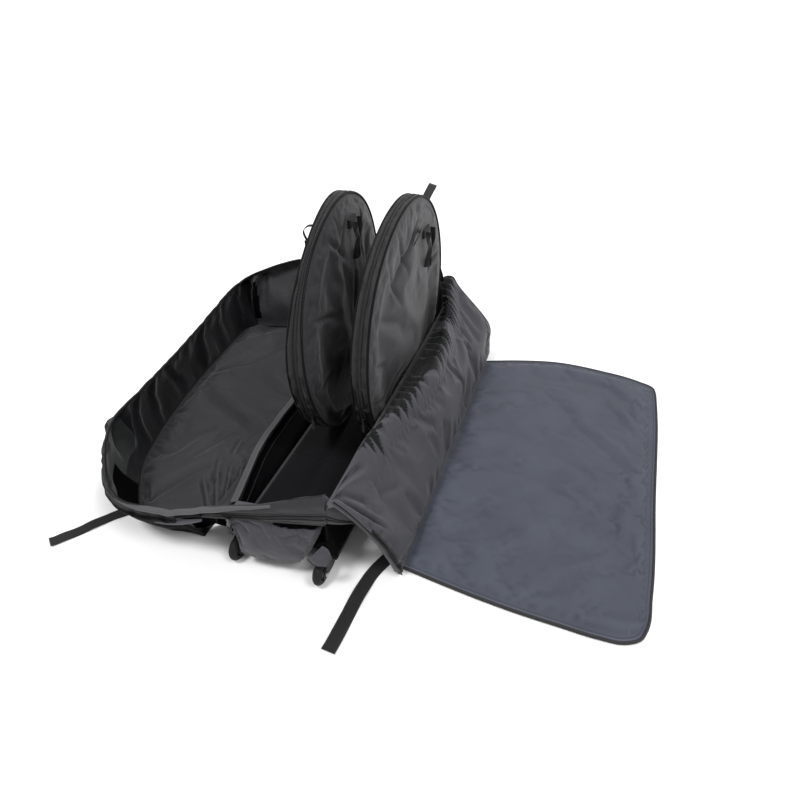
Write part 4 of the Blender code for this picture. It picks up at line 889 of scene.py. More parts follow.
def strip_top(x):
    share = (x - STRIP_LEFT) / (STRIP_RIGHT - STRIP_LEFT)
    return strip_bottom(x) + WALL_HEIGHT * np.interp(
        share, [0, 0.28, 0.5, 0.83, 1], [0.12, 0.19, 0.225, 0.345, 0.41])


def strip_front(x):
    return -1.1101 + 0.115 * x


def make_near_strip():
    gx, gt = field((STRIP_LEFT, STRIP_RIGHT, 150), (0, 1, 40))
    z = strip_bottom(gx) + (strip_top(gx) - strip_bottom(gx)) * gt
    right = step(gx, -0.08, 0.12)
    roll = 0.0040 * np.abs(np.sin(math.pi * gt * 2)) * (1 - right)
    wave = 0.0035 * layered(joined(gx, z), (0.09, 0.03), 91)
    groove = sum(hump(gt, p, 0.02) for p in (0.30, 0.44)) * 0.0018 * right
    curl = 0.014 * right * step(gt, 0.5, 1.0) ** 2 - 0.006 * right * hump(gt, 0.15, 0.2)
    thin = 1 - step(np.minimum(gt, 1 - gt), 0, 0.08)
    front = joined(gx, strip_front(gx) + 0.004 * thin - roll - wave + groove + curl, z)
    back = joined(gx, strip_front(gx) + STRIP_THICK - 0.003 * thin + curl * 0.5, z)
    lines = [tube(front[30:, int(p * 39)] + (0, -0.0008, 0), 0.0012, ALONG, 5) for p in (0.24, 0.36)]
    build("near_end_zip_strip", [panel(front, back)] + lines, [STRIP_CLOTH, PIPING], "base",
          "near_end_strip")

    x = np.linspace(STRIP_LEFT, STRIP_RIGHT - 0.004, 90)
    line = joined(x, strip_front(x) - 0.0026, strip_bottom(x) + 0.0052)
    tape = ribbon(line + (0, 0.0012, 0.001), UP, 0.018, 0.0014)
    build("near_end_zip", [tape, coil(line, 0.0027, 0.0055, ALONG)], [TAPE, TEETH], "base",
          "main_zip")


END_CREASES = [
    ((-0.098, 0.185), (-0.055, 0.150), 0.008, 0.0060),
    ((-0.085, 0.196), (-0.010, 0.172), 0.007, 0.0060),
    ((-0.105, 0.165), (-0.085, 0.110), 0.008, 0.0050),
    ((0.105, 0.190), (0.030, 0.150), 0.010, 0.0060),
]


def make_end_panel():
    gu, gt = field((-1, 1, 121), (0, 1, 81))
    foot = 0.038 + 0.020 * np.abs(gu) ** 4
    z = foot + (strip_bottom(gu * 0.12) - 0.0003 - foot) * gt
    left = -0.1075 - 0.018 * step(gt, 0.3, 1.0)
    right = np.interp(gt, [0, 0.25, 0.6, 1.0], [0.074, 0.098, 0.122, 0.140])
    x = (left + right) / 2 + gu * (right - left) / 2
    swell = np.sin(math.pi * (0.12 + 0.84 * gt)) * (0.35 + 0.65 * (1 - np.abs(gu) ** 3))
    recess = step(gt, 0.74, 0.92) * step(gu, -0.35, 0.35)
    edge = step(np.minimum(1 - np.abs(gu), gt * 1.4), 0, 0.12)
    front = strip_front(x) + 0.0024 - 0.0165 * swell + 0.024 * recess + (1 - edge) * 0.016
    for a, b, w, d in END_CREASES:
        front = front + d * crease(x, z, a, b, w)
    face = joined(x, front - edge * 0.0032 * layered(joined(x, z), 0.10, 95), z)
    face = settled(face, 1 - edge + step(gt, 0.90, 1.0) + 0.06, 0.016, 0.006, stiff=0.6)
    # Black cloth in the recess under the strip's right part: painted shadow of the strip.
    dark = (recess > 0.45) & (gt > 0.80)
    body = patched(panel(face, joined(x, BOARD_NEAR - 0.0003 - 0.006 * gt, z)), 2 * dark)
    build("near_end_panel_cloth", [body, tube(face[2:-2, 1] + (0, -0.0005, 0), 0.0020, ALONG)],
          [GREY_CLOTH, PIPING, BLACK_CLOTH], "base", "near_end_panel")


def make_near_webs():
    """Black cloth between the end panel and its corners, above the wheels, as painted shade under the
    strip, and a loose grey flap.
    """
    for side, name in ((-1, "left"), (1, "right")):
        gt, gs = field((0, 1, 50), (0, 1, 26))
        z = 0.082 + (strip_bottom(side * 0.14) - 0.004 - 0.082) * gt
        inner = 0.085 + 0.042 * gt if side > 0 else 0.100 + 0.010 * gt
        x = side * (inner + (0.1475 - inner) * gs)
        y = strip_front(x) + 0.020 + 0.024 * np.sin(math.pi * gs) ** 2 + 0.020 * (1 - gt)
        y = y + 0.005 * ridged(joined(x, z + 0.3 * x), (0.022, 0.07), 103 + side)
        front = joined(x, y, z)
        # Black cloth: painted shade under the strip.
        build(name + "_near_web", [panel(front, front + (0, 0.0022, 0))], [BLACK_CLOTH], "base")
    low = resample([(0.106, -1.120, 0.112), (0.130, -1.126, 0.098), (0.157, -1.120, 0.096)], 40)
    high = resample([(0.146, -1.106, 0.162), (0.158, -1.108, 0.160), (0.169, -1.106, 0.120)], 40)
    t = np.linspace(0, 1, 30)
    grid = low[:, None] + (high - low)[:, None] * t[:, None]
    grid[..., 1] -= 0.006 * np.sin(math.pi * t)
    grid[..., 1] += 0.003 * noise(grid[..., [0, 2]], (0.03, 0.03), 107)
    build("right_wheel_flap", [panel(grid, grid + (0, 0.0024, 0)), tube(grid[:, 0], 0.0014, ALONG, 6)],
          [GREY_CLOTH, PIPING], "base")


def make_corner_gussets():
    for side, name in ((-1, "left"), (1, "right")):
        outer = side * (HALF_BASE - 0.004)
        foot = BOARD_TOP + 0.003
        high = strip_bottom(outer - 0.004) - 0.0004
        front = strip_front(outer) + 0.0036
        z = np.linspace(foot, high, 40)
        near = np.interp(z, [foot, foot + 0.018, foot + 0.027, high - (high - foot) * 0.25, high],
                         [BOARD_NEAR, -1.0595, -1.0784, front, front])
        top_end = -1.0330 if side > 0 else front + 0.0276
        far = np.interp(z, [foot, foot + 0.55 * (high - foot), high], [-0.9988, -0.9988, top_end])
        y = near[:, None] + (far - near)[:, None] * np.linspace(0, 1, 30)
        z = z[:, None]
        wave = 0.0022 * ridged(joined(y, z + 0.6 * y), (0.04, 0.09), 101 + side)
        faces = joined(outer - 0.0032 + wave, y, z), joined(outer + 0.0032 + wave * 0.7, y, z)
        build(name + "_corner_cloth", [panel(*faces)], [BLACK_CLOTH], "base",
              name + "_corner_gusset")


def make_near_corner():
    """The flap that carries the near strip round to the folded wall, and the black web by the shell,
    painted shade under its near rim.
    """
    gs, gt = field((0, 1, 60), (0, 1, 30))
    low = resample([(0.150, -1.0905, 0.2316), (0.185, -1.0905, 0.2390), (0.235, -1.0780, 0.2480)], 60)
    high = resample([(0.150, -1.0820, 0.3240), (0.172, -1.0860, 0.3160), (0.231, -1.0740, 0.2560)], 60)
    grid = low[:, None] + (high - low)[:, None] * gt[..., None]
    wave = 0.0025 * layered(grid[..., [0, 2]], (0.05, 0.03), 141) * np.sin(math.pi * gs)
    grid[..., 1] += wave - 0.006 * np.sin(math.pi * gt) * (1 - gs) + 0.002
    lines = [tube(grid[:, int(p * 29)] + (0, -0.0012, 0), 0.0012, ALONG, 5) for p in (0.24, 0.36)]
    flap = build("near_corner_flap", [panel(grid, grid + (0, 0.005, 0))] + lines,
                 [STRIP_CLOTH, PIPING])
    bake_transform(flap)

    top = resample([(-0.300, -1.140, 0.150), (-0.254, -1.144, 0.160), (-0.201, -1.138, 0.178),
                    (-0.160, -1.122, 0.184), (-0.122, -1.110, 0.188)], 60)
    foot = resample([(-0.300, -1.060, 0.008), (-0.262, -1.040, 0.012), (-0.226, -1.014, 0.026),
                     (-0.192, -1.002, 0.062), (-0.140, -1.020, 0.112)], 60)
    grid = foot[:, None] + (top - foot)[:, None] * gt[..., None]
    grid[..., 1] += 0.012 * np.sin(math.pi * gt) + 0.002 * noise(grid[..., [0, 2]], (0.03, 0.04), 143)
    # Black cloth: painted shade under the shell's near rim.
    web = build("near_shell_web", [panel(grid, grid + (0, 0.004, 0))], [BLACK_CLOTH])
    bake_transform(web)


def make_fold_cloth():
    """The floor's fabric over the left fold line."""
    gy, gs = field((RIM_NEAR + 0.006, RIM_FAR - 0.004, 150), (0, 1, 16))
    wave = 0.0012 * noise(joined(gy, 0.0), 0.04, 131) * np.sin(math.pi * gs)
    grid = joined(SHELL_HINGE + 0.010 - 0.034 * gs, gy,
                  0.0145 + 0.0120 * (1 - step(gs, 0.0, 0.55)) + wave)
    obj = build("left_fold_cloth", [panel(grid + normals(grid) * 0.0012, grid)], [FLOOR_CLOTH])
    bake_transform(obj)


# Right wall: shoulder, its zip edge and strap

RIDGE_SHARES = [(0.0, 0.16), (0.22, 0.16), (0.34, 0.38), (0.52, 0.56), (0.66, 0.50),
                (0.82, 0.27), (1.0, 0.12)]
SWELL_SHARES = [(0.0, 0.00), (0.5, 0.06), (0.8, 0.12), (1.0, 0.35)]
RAISED_END = np.array([(0.132, 0.302), (0.122, 0.345), (0.160, 0.356), (0.192, 0.316)])
SHOULDER_CREASES = [
    ((-1.100, 0.105), (-0.985, 0.205), 0.0085, 0.021),
    ((-1.085, 0.125), (-1.005, 0.245), 0.0075, 0.017),
    ((-1.100, 0.095), (-0.930, 0.150), 0.0085, 0.016),
    ((-1.060, 0.260), (-1.000, 0.345), 0.0075, 0.013),
    ((-0.960, 0.200), (-0.840, 0.240), 0.0100, 0.006),
    ((-0.700, 0.140), (-0.560, 0.250), 0.0120, 0.005),
    ((-0.380, 0.150), (-0.260, 0.280), 0.0120, 0.006),
    ((-0.240, 0.130), (-0.120, 0.200), 0.0110, 0.006),
]


def shoulder_section(share):
    """The near side's outward bulge and the far end's raised corner are added to the CAD's shape."""
    ridge = np.interp(share, *np.array(RIDGE_SHARES).T) * SHOULDER_REACH
    swell = np.interp(share, *np.array(SWELL_SHARES).T) * SHOULDER_REACH
    hx, hz = SHOULDER_HINGE
    far_x, drop, thick = SHOULDER_REACH - 0.0008, hz - 0.014, SHOULDER_THICK
    outer = np.array([
        (hx + thick * 0.7, hz + thick),
        (hx + max(ridge * 0.55, thick * 0.5), hz + RIDGE_RISE * 0.85),
        (hx + max(ridge, thick), hz + RIDGE_RISE),
        (hx + ridge + (far_x - ridge) * 0.30 + swell * 0.4, hz - drop * 0.10),
        (hx + ridge + (far_x - ridge) * 0.62 + swell * 0.7, hz - drop * 0.42),
        (hx + far_x * 0.94 + swell * 0.15, hz - drop * 0.78),
        (hx + far_x, 0.0143)])
    far = step(share, 0.84, 0.97)
    bulge = np.array([(0.006, 0.004), (0.016, 0.014), (0.014, 0.010)])
    outer[2:5] += bulge * max(0.0, 1 - share * 7)
    outer[:4] = outer[:4] * (1 - far) + RAISED_END * far
    along = unit(np.gradient(outer, axis=0))
    inner = outer + joined(along[:, 1], -along[:, 0]) * thick
    inner[0] = np.array((hx, hz)) * (1 - far) + np.array([0.146, 0.292]) * far
    inner[1, 0] = max(inner[1, 0], (hx + thick * 0.5) * (1 - far) + 0.138 * far)
    return outer, inner


def make_shoulder_zip(face, way):
    """The zip along the shoulder's near edge: a pale tape, and dark teeth beside its lower part."""
    first, half = int(face.shape[1] * 0.33), int(face.shape[1] * 0.60)
    line, out = face[0, first:] + (0, -0.0036, 0), way[0, first:]
    over = way[3, half:]
    inner = face[3, half:] + over * 0.0022
    parts = [ribbon(line + out * 0.0012, out, 0.012, 0.0018),
             ribbon(inner, np.cross(over, unit(np.gradient(inner, axis=0))), 0.013, 0.0016),
             coil(inner + over * 0.0014, 0.0034, 0.0065, ALONG),
             tube(line + (0, -0.0012, 0) + out * 0.006, 0.0016, ALONG, 6)]
    build("shoulder_zip", parts, [PALE_WEBBING, TEETH, TEETH, PIPING], "right_wall",
          "shoulder_zip_edge")


def make_shoulder():
    shares = np.linspace(0, 1, 22)
    count, high = 381, 121
    share = np.linspace(0, 1, count)
    y = SHOULDER_NEAR + (SHOULDER_FAR - SHOULDER_NEAR) * share
    shear = NEAR_SET * np.maximum(0, 1 - share * 6) + FAR_SET * np.maximum(0, share * 6 - 5)
    ridge = SHOULDER_HINGE[1] + RIDGE_RISE

    def spread(sections):
        x, z = crosswise(resample(sections, count, shares), high, range(7)).transpose(2, 0, 1)
        fall = np.maximum(0.0, (ridge - z) / ridge)
        return joined(x, y[:, None] + shear[:, None] * fall, z)
    face, back = [spread(sections) for sections in zip(*map(shoulder_section, shares))]
    u, v = field((0, 1, count), (0, 6, high))
    way = normals(face)
    if way[130, 60, 0] < 0:
        way = -way
    yy, vv = face[..., 1], v * 0.06
    flat = joined(yy, vv)
    slanted = yy + 0.30 * vv
    gather = between(u, 0.14, 0.24, 0.97, 1.0)
    phase = slanted / 0.040 + 1.5 * noise(joined(slanted), 0.13, 112)
    phase = phase + 0.25 * noise(flat, (0.06, 0.05), 114)
    saw = phase - np.floor(phase)
    teeth = np.minimum(saw / 0.72, (1 - saw) / 0.28)
    size = 0.75 + 0.7 * noise(joined(yy), 0.07, 116)
    end = 1.75 + 1.15 * teeth * size
    band = step(v, 0.25, 0.8) * (1 - step(v, end, end + 0.35))
    lift = gather * band * (0.0130 * teeth * size - 0.0120)
    lift += step(v, 2.2, 3.2) * 0.0075 * layered(flat, (0.34, 0.10), 113, 2)
    for a, b, w, d in SHOULDER_CREASES:
        aside = np.array((w * 1.3, w * 1.1))
        lift = lift - d * crease(yy, vv, a, b, w) + 0.6 * d * crease(yy, vv, a + aside, b + aside, w)
    face = face + way * (lift * step(v, 0, 0.5) * (1 - 0.7 * step(v, 5.5, 6)))[..., None]
    hold = 2 - between(v, 2.6, 3.2, 5.6, 5.9) - between(u, 0.0, 0.03, 0.97, 1.0)
    face = settled(face, hold + 0.05, 0.018, 0.010, 3, 2.5)
    # Near-black cloth along the inner edge and between the gathers: painted shade in the trough by the
    # bag.
    dark = (v < end) & (gather > 0.05) | (v < 0.9)
    build("right_shoulder_cloth", [patched(panel(face, back), dark)], [GREY_CLOTH, DARK_CLOTH],
          "right_wall", "right_shoulder")
    make_shoulder_zip(face, way)


def make_right_strap():
    share = 0.16
    y = SHOULDER_NEAR + (SHOULDER_FAR - SHOULDER_NEAR) * share
    _, inner = shoulder_section(share)
    foot, up = inner[-1], unit(inner[-2] - inner[-1])
    shares = [(0.000, 0.000), (0.092, -0.018), (0.184, -0.053), (0.347, -0.108), (0.466, -0.124),
              (0.582, -0.137), (0.711, -0.145), (0.845, -0.150), (1.000, -0.162)]
    floor_strap("right_strap_webbing", np.array([foot[0] - 0.019, y, 0.0013]), -math.pi / 2, shares,
                0.376, 0.038, "right_wall", "right_strap", (44, 54))
    away = np.array([-up[1], up[0]])
    near = foot + away * 0.0003
    path = [near + up * 0.038 + away * 0.001, near + up * 0.018 + away * 0.001,
            near + up * 0.004 + away * 0.0013, (near[0] - 0.006, 0.0037),
            (near[0] - 0.020, 0.0036), (foot[0] - 0.038, 0.0036)]
    path = resample([(x, y, z) for x, z in path], 24)
    out = np.array([away[0], 0, away[1]])
    rows = [stitches(path[:9] + (0, o, 0) + out * 0.0011, out) for o in (-0.009, 0.009)]
    build("right_strap_patch", [ribbon(path, ALONG, 0.0266, 0.0020)] + rows, [WEBBING, THREAD],
          "right_wall", "right_strap_anchor")


# Lid

LID_SHARES = [
    (0.000, 0.039), (0.164, 0.027), (0.338, 0.016), (0.502, 0.009), (0.658, 0.006),
    (0.809, 0.004), (0.900, 0.009), (0.955, 0.027), (0.976, 0.053), (0.990, 0.135),
    (0.999, 0.436), (1.000, 0.867), (0.996, 0.904), (0.985, 0.928), (0.905, 0.949),
    (0.678, 0.971), (0.435, 0.975), (0.195, 0.945), (0.000, 0.907),
]


def make_lid():
    hinge = LID_HINGE[0]
    outline = resample([(hinge + p * LID_WIDTH, LID_NEAR + q * LID_LENGTH) for p, q in LID_SHARES], 700)
    widest = int(np.argmax(outline[:, 0]))
    start, end = outline[0, 0], outline[widest, 0] - 0.0002
    x = start + (end - start) * (1 - (1 - np.linspace(0, 1, 129)) ** 1.9)
    low = np.interp(x, *outline[: widest + 1].T)
    high = np.interp(x, *outline[widest:][::-1].T)
    x = np.r_[hinge - 0.010, hinge - 0.005, x][:, None]
    low = np.r_[low[0] + 0.02, low[0] + 0.01, low][:, None]
    high = np.r_[high[0] - 0.02, high[0] - 0.01, high][:, None]
    gy = low + (high - low) * np.linspace(0, 1, 191)
    flat = joined(x, gy)
    edge = np.minimum.reduce(np.broadcast_arrays(x - x[0], x[-1] - x, gy - low, high - gy))
    z = 0.0090 + 0.0065 * step(edge, -0.004, 0.05)
    z = z + step(edge, 0.0, 0.06) * (
        0.0040 * layered(flat, 0.24, 121) + 0.0010 * layered(flat, 0.05, 122))
    z = np.where(x < hinge, 0.0105, z)
    top = settled(joined(x, gy, z), 1 - step(edge, 0.010, 0.035) + 0.05, 0.010, 0.006)
    top[..., 2] = np.maximum(top[..., 2], 0.0055)
    lid = build("lid_cloth_panel", [panel(top, joined(x, gy, 0.0010))], [LID_CLOTH], "lid",
                "lid_panel")
    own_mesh(lid)

    outline = outline[::3]
    along = unit(np.gradient(outline, axis=0))
    out = joined(along[:, 1], -along[:, 0]) * 0.0030
    line = joined(*(outline + out).T, 0.0068)
    thread = stitches(joined(*(outline - out * 2.6).T, 0.0116), UP, 0.008)
    build("lid_edge_binding", [tube(line, 0.0048, flat=1.1), thread], [GUSSET_CLOTH, THREAD], "lid",
          "lid_binding")


# Wheel bags

HANDLE_PLACES = {"left": (0.13, 0.80), "right": (0.40, 0.64)}
# Where the two seams lie across a bag, at angles from its top towards its near side
SEAMS = {
    "right": [(-180, 0.029, -0.029), (-90, 0.029, -0.029), (-30, 0.027, -0.016), (0, 0.030, -0.006),
              (30, 0.030, -0.006), (55, 0.030, -0.010), (85, 0.034, -0.012), (105, 0.033, -0.013),
              (120, 0.030, -0.022), (140, 0.029, -0.028), (180, 0.029, -0.029)],
    "left": [(-180, 0.029, -0.029), (-90, 0.029, -0.029), (-40, 0.023, -0.026),
             (-10, 0.015, -0.018), (10, 0.011, -0.014), (25, 0.006, -0.014), (40, 0.000, -0.018),
             (54, -0.001, -0.026), (67, 0.000, -0.034), (78, 0.003, -0.040), (90, 0.006, -0.042),
             (105, 0.014, -0.036), (125, 0.023, -0.031), (150, 0.029, -0.029), (180, 0.029, -0.029)],
}
BAG_CREASES = {
    "right": [
        ((0.05, 0.29), (-0.16, 0.17), 0.010, 0.006), ((-0.28, 0.14), (-0.10, 0.04), 0.012, 0.005),
        ((-0.26, -0.20), (-0.08, -0.12), 0.012, 0.006), ((0.20, -0.20), (0.06, -0.28), 0.012, 0.004),
        ((-0.12, 0.33), (-0.04, 0.18), 0.008, 0.006), ((-0.33, 0.02), (-0.20, -0.05), 0.010, 0.005),
        ((-0.20, 0.28), (-0.10, 0.10), 0.009, 0.006), ((-0.34, -0.10), (-0.22, -0.16), 0.008, 0.006),
        ((0.30, 0.10), (0.16, 0.05), 0.010, 0.004), ((-0.05, -0.33), (0.02, -0.18), 0.010, 0.005)],
    "left": [
        ((0.02, 0.33), (-0.10, 0.20), 0.008, 0.007), ((0.16, 0.30), (0.12, 0.14), 0.008, 0.006),
        ((-0.14, 0.30), (-0.02, 0.20), 0.010, 0.006), ((-0.30, 0.14), (-0.14, 0.08), 0.011, 0.005),
        ((0.05, 0.16), (0.00, -0.02), 0.012, 0.005), ((-0.32, -0.08), (-0.18, -0.10), 0.010, 0.005),
        ((0.24, 0.20), (0.14, 0.06), 0.010, 0.005)],
}


def bag_matrix(which):
    return Matrix.Translation(BAG_PLACES[which]) @ Matrix.Rotation(BAG_TURNS[which], 4, "Z")


def dome(radius):
    return BAG_DOME * (1.0 - np.minimum(1.0, radius / BAG_RADIUS) ** 6)


def seam_places(which, turn):
    angle = (np.degrees(turn) + 180) % 360 - 180
    fine = np.linspace(-180, 180, 361)
    places, *seams = np.array(SEAMS[which]).T
    return [np.interp(angle, fine, smoothed(np.interp(fine, places, seam), 10, "wrap"))
            for seam in seams]


def sampled(values, line, y, z):
    """What a square grid over `line` both ways holds at the places (y, z)."""
    fy, fz = [np.clip((at - line[0]) / (line[1] - line[0]), 0, len(line) - 1.001) for at in (y, z)]
    i, j = fy.astype(int), fz.astype(int)
    a, b = (fy - i)[..., None], (fz - j)[..., None]
    near = values[i, j] * (1 - a) + values[i + 1, j] * a
    far = values[i, j + 1] * (1 - a) + values[i + 1, j + 1] * a
    return near * (1 - b) + far * b


def bag_profile(which, side, seed, gy, gz):
    """How far out a bag's face stands at (gy, gz), and how firmly it is held there."""
    r = np.hypot(gy, gz)
    across, up = HANDLE_PLACES[which]
    sewn = np.exp(-((gy - across * BAG_RADIUS) / 0.060) ** 4
                  - ((gz - up * BAG_RADIUS + 0.045) / 0.085) ** 4) * (side > 0)
    out = BAG_HALF + dome(r) - 0.006 * hump(r, 0.235, 0.06) + 0.002 * hump(r, 0.318, 0.02)
    slack = between(r, 0.02, 0.10, 0.350, 0.366) * (1 - sewn)
    out = out + slack * 0.0040 * layered(joined(gy, gz), 0.22, seed)
    for a, b, w, d in BAG_CREASES[which]:
        out = out - (1 - sewn) * d * crease(gy, gz, a, b, w)
    return out, step(r, 0.346, 0.360) + 0.25 * hump(r, 0.318, 0.015) + 0.05 + sewn


def bag_face(which, side, seed):
    """A domed disc of slack fabric over a tyre's soft ridge, as a closed body."""
    share = np.r_[np.linspace(0.02, 0.80, 52), np.linspace(0.82, 1.0, 23)]
    turn = np.linspace(0, 2 * math.pi, 260, endpoint=False)
    radius = (BAG_RADIUS - 0.0045) * share[:, None]
    gy, gz = -np.sin(turn) * radius, np.cos(turn) * radius
    line = np.linspace(-BAG_RADIUS, BAG_RADIUS, 81)
    sheet_y, sheet_z = np.meshgrid(line, line, indexing="ij")
    sheet_out, hold = bag_profile(which, side, seed, sheet_y, sheet_z)
    sheet = joined(side * sheet_out, sheet_y, sheet_z)
    grow = 0.014 if which == "right" else 0.022
    moved = settled(sheet, hold, grow, 0.011, 1, 1.2) - sheet
    out, _ = bag_profile(which, side, seed, gy, gz)
    seams = seam_places(which, turn)
    warp = (seams[0] - BAG_HALF) if side > 0 else (seams[1] + BAG_HALF)
    skin = joined(side * out + warp * (radius / BAG_RADIUS) ** 4, gy, gz)
    skin = skin + sampled(moved, line, gy, gz)
    hem = joined((seams[0] + seams[1]) / 2 + side * 0.0004, gy[-1:], gz[-1:])
    core = joined(side * 0.0004, gy[:1], gz[:1])
    return rings(np.concatenate([skin, hem, core]))


def make_bag(which, seed):
    body, m, name = which + "_wheel_bag", bag_matrix(which), which + "_bag_"
    for side, label in ((-1, "left"), (1, "right")):
        build(f"{name}{label}_cloth", [bag_face(which, side, seed + side)], [BAG_CLOTH], body,
              f"{name}{label}_face", m)

    count = 360
    turn = np.linspace(0, 2 * math.pi, count, endpoint=False)
    out = joined(0, -np.sin(turn), np.cos(turn))
    circle = out * BAG_RADIUS
    seams = seam_places(which, turn)
    middle, half = (seams[0] + seams[1]) / 2, (seams[0] - seams[1]) / 2
    narrow = np.minimum(1.0, half / 0.016)

    def ring(lift, sideways):
        """A ring round the bag's edge, raised by a lift and moved sideways."""
        return circle + out * np.reshape(lift, (-1, 1)) + np.reshape(sideways, (-1, 1)) * ACROSS
    section = [(-1.0, -0.004), (-1.0, -0.0005), (-0.76, 0.0014), (-0.36, 0.0006),
               (-0.33, -0.0008), (0.0, -0.001), (0.33, -0.0008), (0.36, 0.0006),
               (0.76, 0.0014), (1.0, -0.0005), (1.0, -0.004), (0.0, -0.0042)]
    lowdown = 1 + 1.6 * hump(np.degrees(turn), 110, 25)
    grid = []
    for a, lift in section:
        place = joined(turn * BAG_RADIUS, a * 0.03)
        rough = 0.0026 * ridged(place, (0.040, 0.04), seed + 7) * (abs(a) < 0.95) * lowdown
        rough = rough * (lift > -0.003) * (1 - hump(a, 0, 0.36))
        grid.append(ring(lift + rough, middle + a * half))
    cords = [tube(ring(-0.0015, seam + s * 0.0012), 0.0038, ACROSS, 8, True)
             for s, seam in zip((1, -1), seams)]
    build(name + "gusset_cloth", [rings(np.stack(grid, axis=1), True)] + cords,
          [GUSSET_CLOTH, PIPING], body, name + "gusset", at=m)

    lie = middle * 0.6
    tape = [ring(lift, lie + a * narrow) for a, lift in (
        (-0.0085, 0.0), (-0.008, 0.0012), (0.008, 0.0012), (0.0085, 0.0), (0.0, -0.0002))]
    parts = [rings(np.stack(tape, axis=1), True),
             coil(ring(0.0008, lie), 0.0022, 0.0060, ACROSS, True)]
    for a in (-0.0135, 0.0135):
        row = ring(0.0016, lie + a * narrow)
        parts.append(stitches(np.concatenate([row, row[:1]]), ACROSS, 0.009, 0.0007))
    build(name + "zip_tape", parts, [TAPE, TEETH, THREAD], body, name + "zip", at=m)


def make_bag_handles():
    face, half, drop = BAG_HALF + BAG_DOME + 0.0003, 0.0225, 0.124
    shape = [(-1.0, 0.0), (-1.1, 0.2), (-0.5, 0.45), (-0.95, 0.72), (-0.45, 0.98),
             (0.35, 1.0), (0.95, 0.80), (0.55, 0.5), (1.1, 0.22), (1.0, 0.0)]
    for which, (across, up) in HANDLE_PLACES.items():
        m, name = bag_matrix(which), which + "_bag_"
        hinge = np.array([face + 0.0113, across * BAG_RADIUS, up * BAG_RADIUS])
        path = resample([hinge + (0, half * a, -drop * b) for a, b in shape], 90)
        far = np.linspace(0, 1, 90) * math.pi
        path[:, 0] += 0.007 * np.sin(far * 3) * np.sin(far)
        twist = 1.2 * np.sin(far * 2) + 0.5 * np.sin(far * 5)
        loop = ribbon(path, joined(np.cos(twist), np.sin(twist), 0), 0.0165, 0.0026)
        build(name + "handle_webbing", [loop], [WEBBING], which + "_handle", name + "handle",
              at=m)
        low, high = hinge[2] - 0.022, hinge[2] + 0.0044
        inner = BAG_HALF + dome(np.hypot(max(abs(hinge[1]) - half * 1.3, 0), max(low, 0)))
        gy, gz = field((-1, 1, 30), (0, 1, 20))
        y, z = hinge[1] + gy * half * 1.3, low + (high - low) * gz
        edge = step(np.minimum(1 - np.abs(gy), np.minimum(gz, 1 - gz) * 2), 0, 0.12)
        parts = [panel(joined(face - 0.0022 + 0.0022 * edge, y, z), joined(inner - 0.012, y, z))]
        for a, b, c, d in ((-1, 0.12, 1, 0.12), (-1, 0.88, 1, 0.88), (-0.94, 0, -0.94, 1),
                           (0.94, 0, 0.94, 1)):
            ends = [(face + 0.0003, hinge[1] + e * half * 1.22, low + (high - low) * f)
                    for e, f in ((a, b), (c, d))]
            parts.append(stitches(np.linspace(*ends, 6), ACROSS))
        if which == "right":
            end = resample([(face + 0.001, 0.074, 0.262), (face + 0.009, 0.040, 0.264),
                            (face + 0.008, -0.006, 0.252)], 24)
            parts.append(ribbon(end, (0.3, 0.2, 1), 0.015, 0.0024))
        build(name + "patch", parts, [WEBBING] + [THREAD] * 4 + [WEBBING], which + "_wheel_bag",
              name + "handle_patch", at=m)


def make_top_loop():
    turn = math.radians(-41.0)
    out = np.array([0.0, -math.sin(turn), math.cos(turn)])
    along = np.array([0.0, out[2], -out[1]])
    root = out * (BAG_RADIUS + 0.0018)
    gap, length = 0.0026, 0.062
    path = [root + along * gap + out * length * k / 4 for k in range(4)]
    path += [root + out * (length + gap * math.sin(math.pi * k / 6))
             + along * gap * math.cos(math.pi * k / 6) for k in range(7)]
    path += [root - along * gap + out * length * (3 - k) / 4 for k in range(4)]
    path = resample(path, 60)
    high = ((path - root) @ out)[:, None] / length
    path = path + 0.016 * ACROSS * np.maximum(high, 0) ** 1.3
    sewn = root + out * 0.012 + along * 0.0037
    row = stitches(np.linspace(sewn + 0.010 * ACROSS, sewn - 0.010 * ACROSS, 6), along)
    build("right_bag_top_tab", [ribbon(path, (1, 0, -0.2), 0.025, 0.0020), row],
          [PALE_WEBBING, THREAD], "right_wheel_bag", "right_bag_top_loop",
          at=bag_matrix("right"))


def make_side_tab():
    y, z, size = -BAG_RADIUS * 0.33, BAG_RADIUS * 0.80, 0.0300
    root = -BAG_HALF + 0.006
    shape = [(-0.1, 1.1), (0.45, 1.0), (0.95, 0.45), (0.80, -0.35), (0.45, -0.95), (-0.2, -1.1)]
    path = resample([(root - size * u, y - 0.004 * v, z + 0.008 + size * v) for u, v in shape], 40)
    flap = resample([(root + 0.004, y - 0.006, z - size * 0.5), (root - 0.008, y - 0.020, z - size * 0.3),
                     (root - 0.016, y - 0.032, z - size * 0.2)], 16)
    build("left_bag_side_tab", [ribbon(path, (0, 1, 0.2), 0.0110, 0.0020),
                                ribbon(flap, (0, 0.5, 0.85), 0.026, 0.0026)],
          [WEBBING], "left_wheel_bag", "left_bag_side_loop", at=bag_matrix("left"))


def make_corner_tab():
    rows, ways = wall_controls()
    way = ways[4]
    outer = rows[4, 2] + way * 0.0115
    path = resample([outer + way * 0.0025 * k + (0, 0, 0.0125 * (k - 1)) for k in range(3)], 20)
    build("left_corner_webbing", [ribbon(path, (-way[1], way[0], 0.0), 0.025, 0.0020)],
          [PALE_WEBBING], "left_shell", "left_corner_tab")


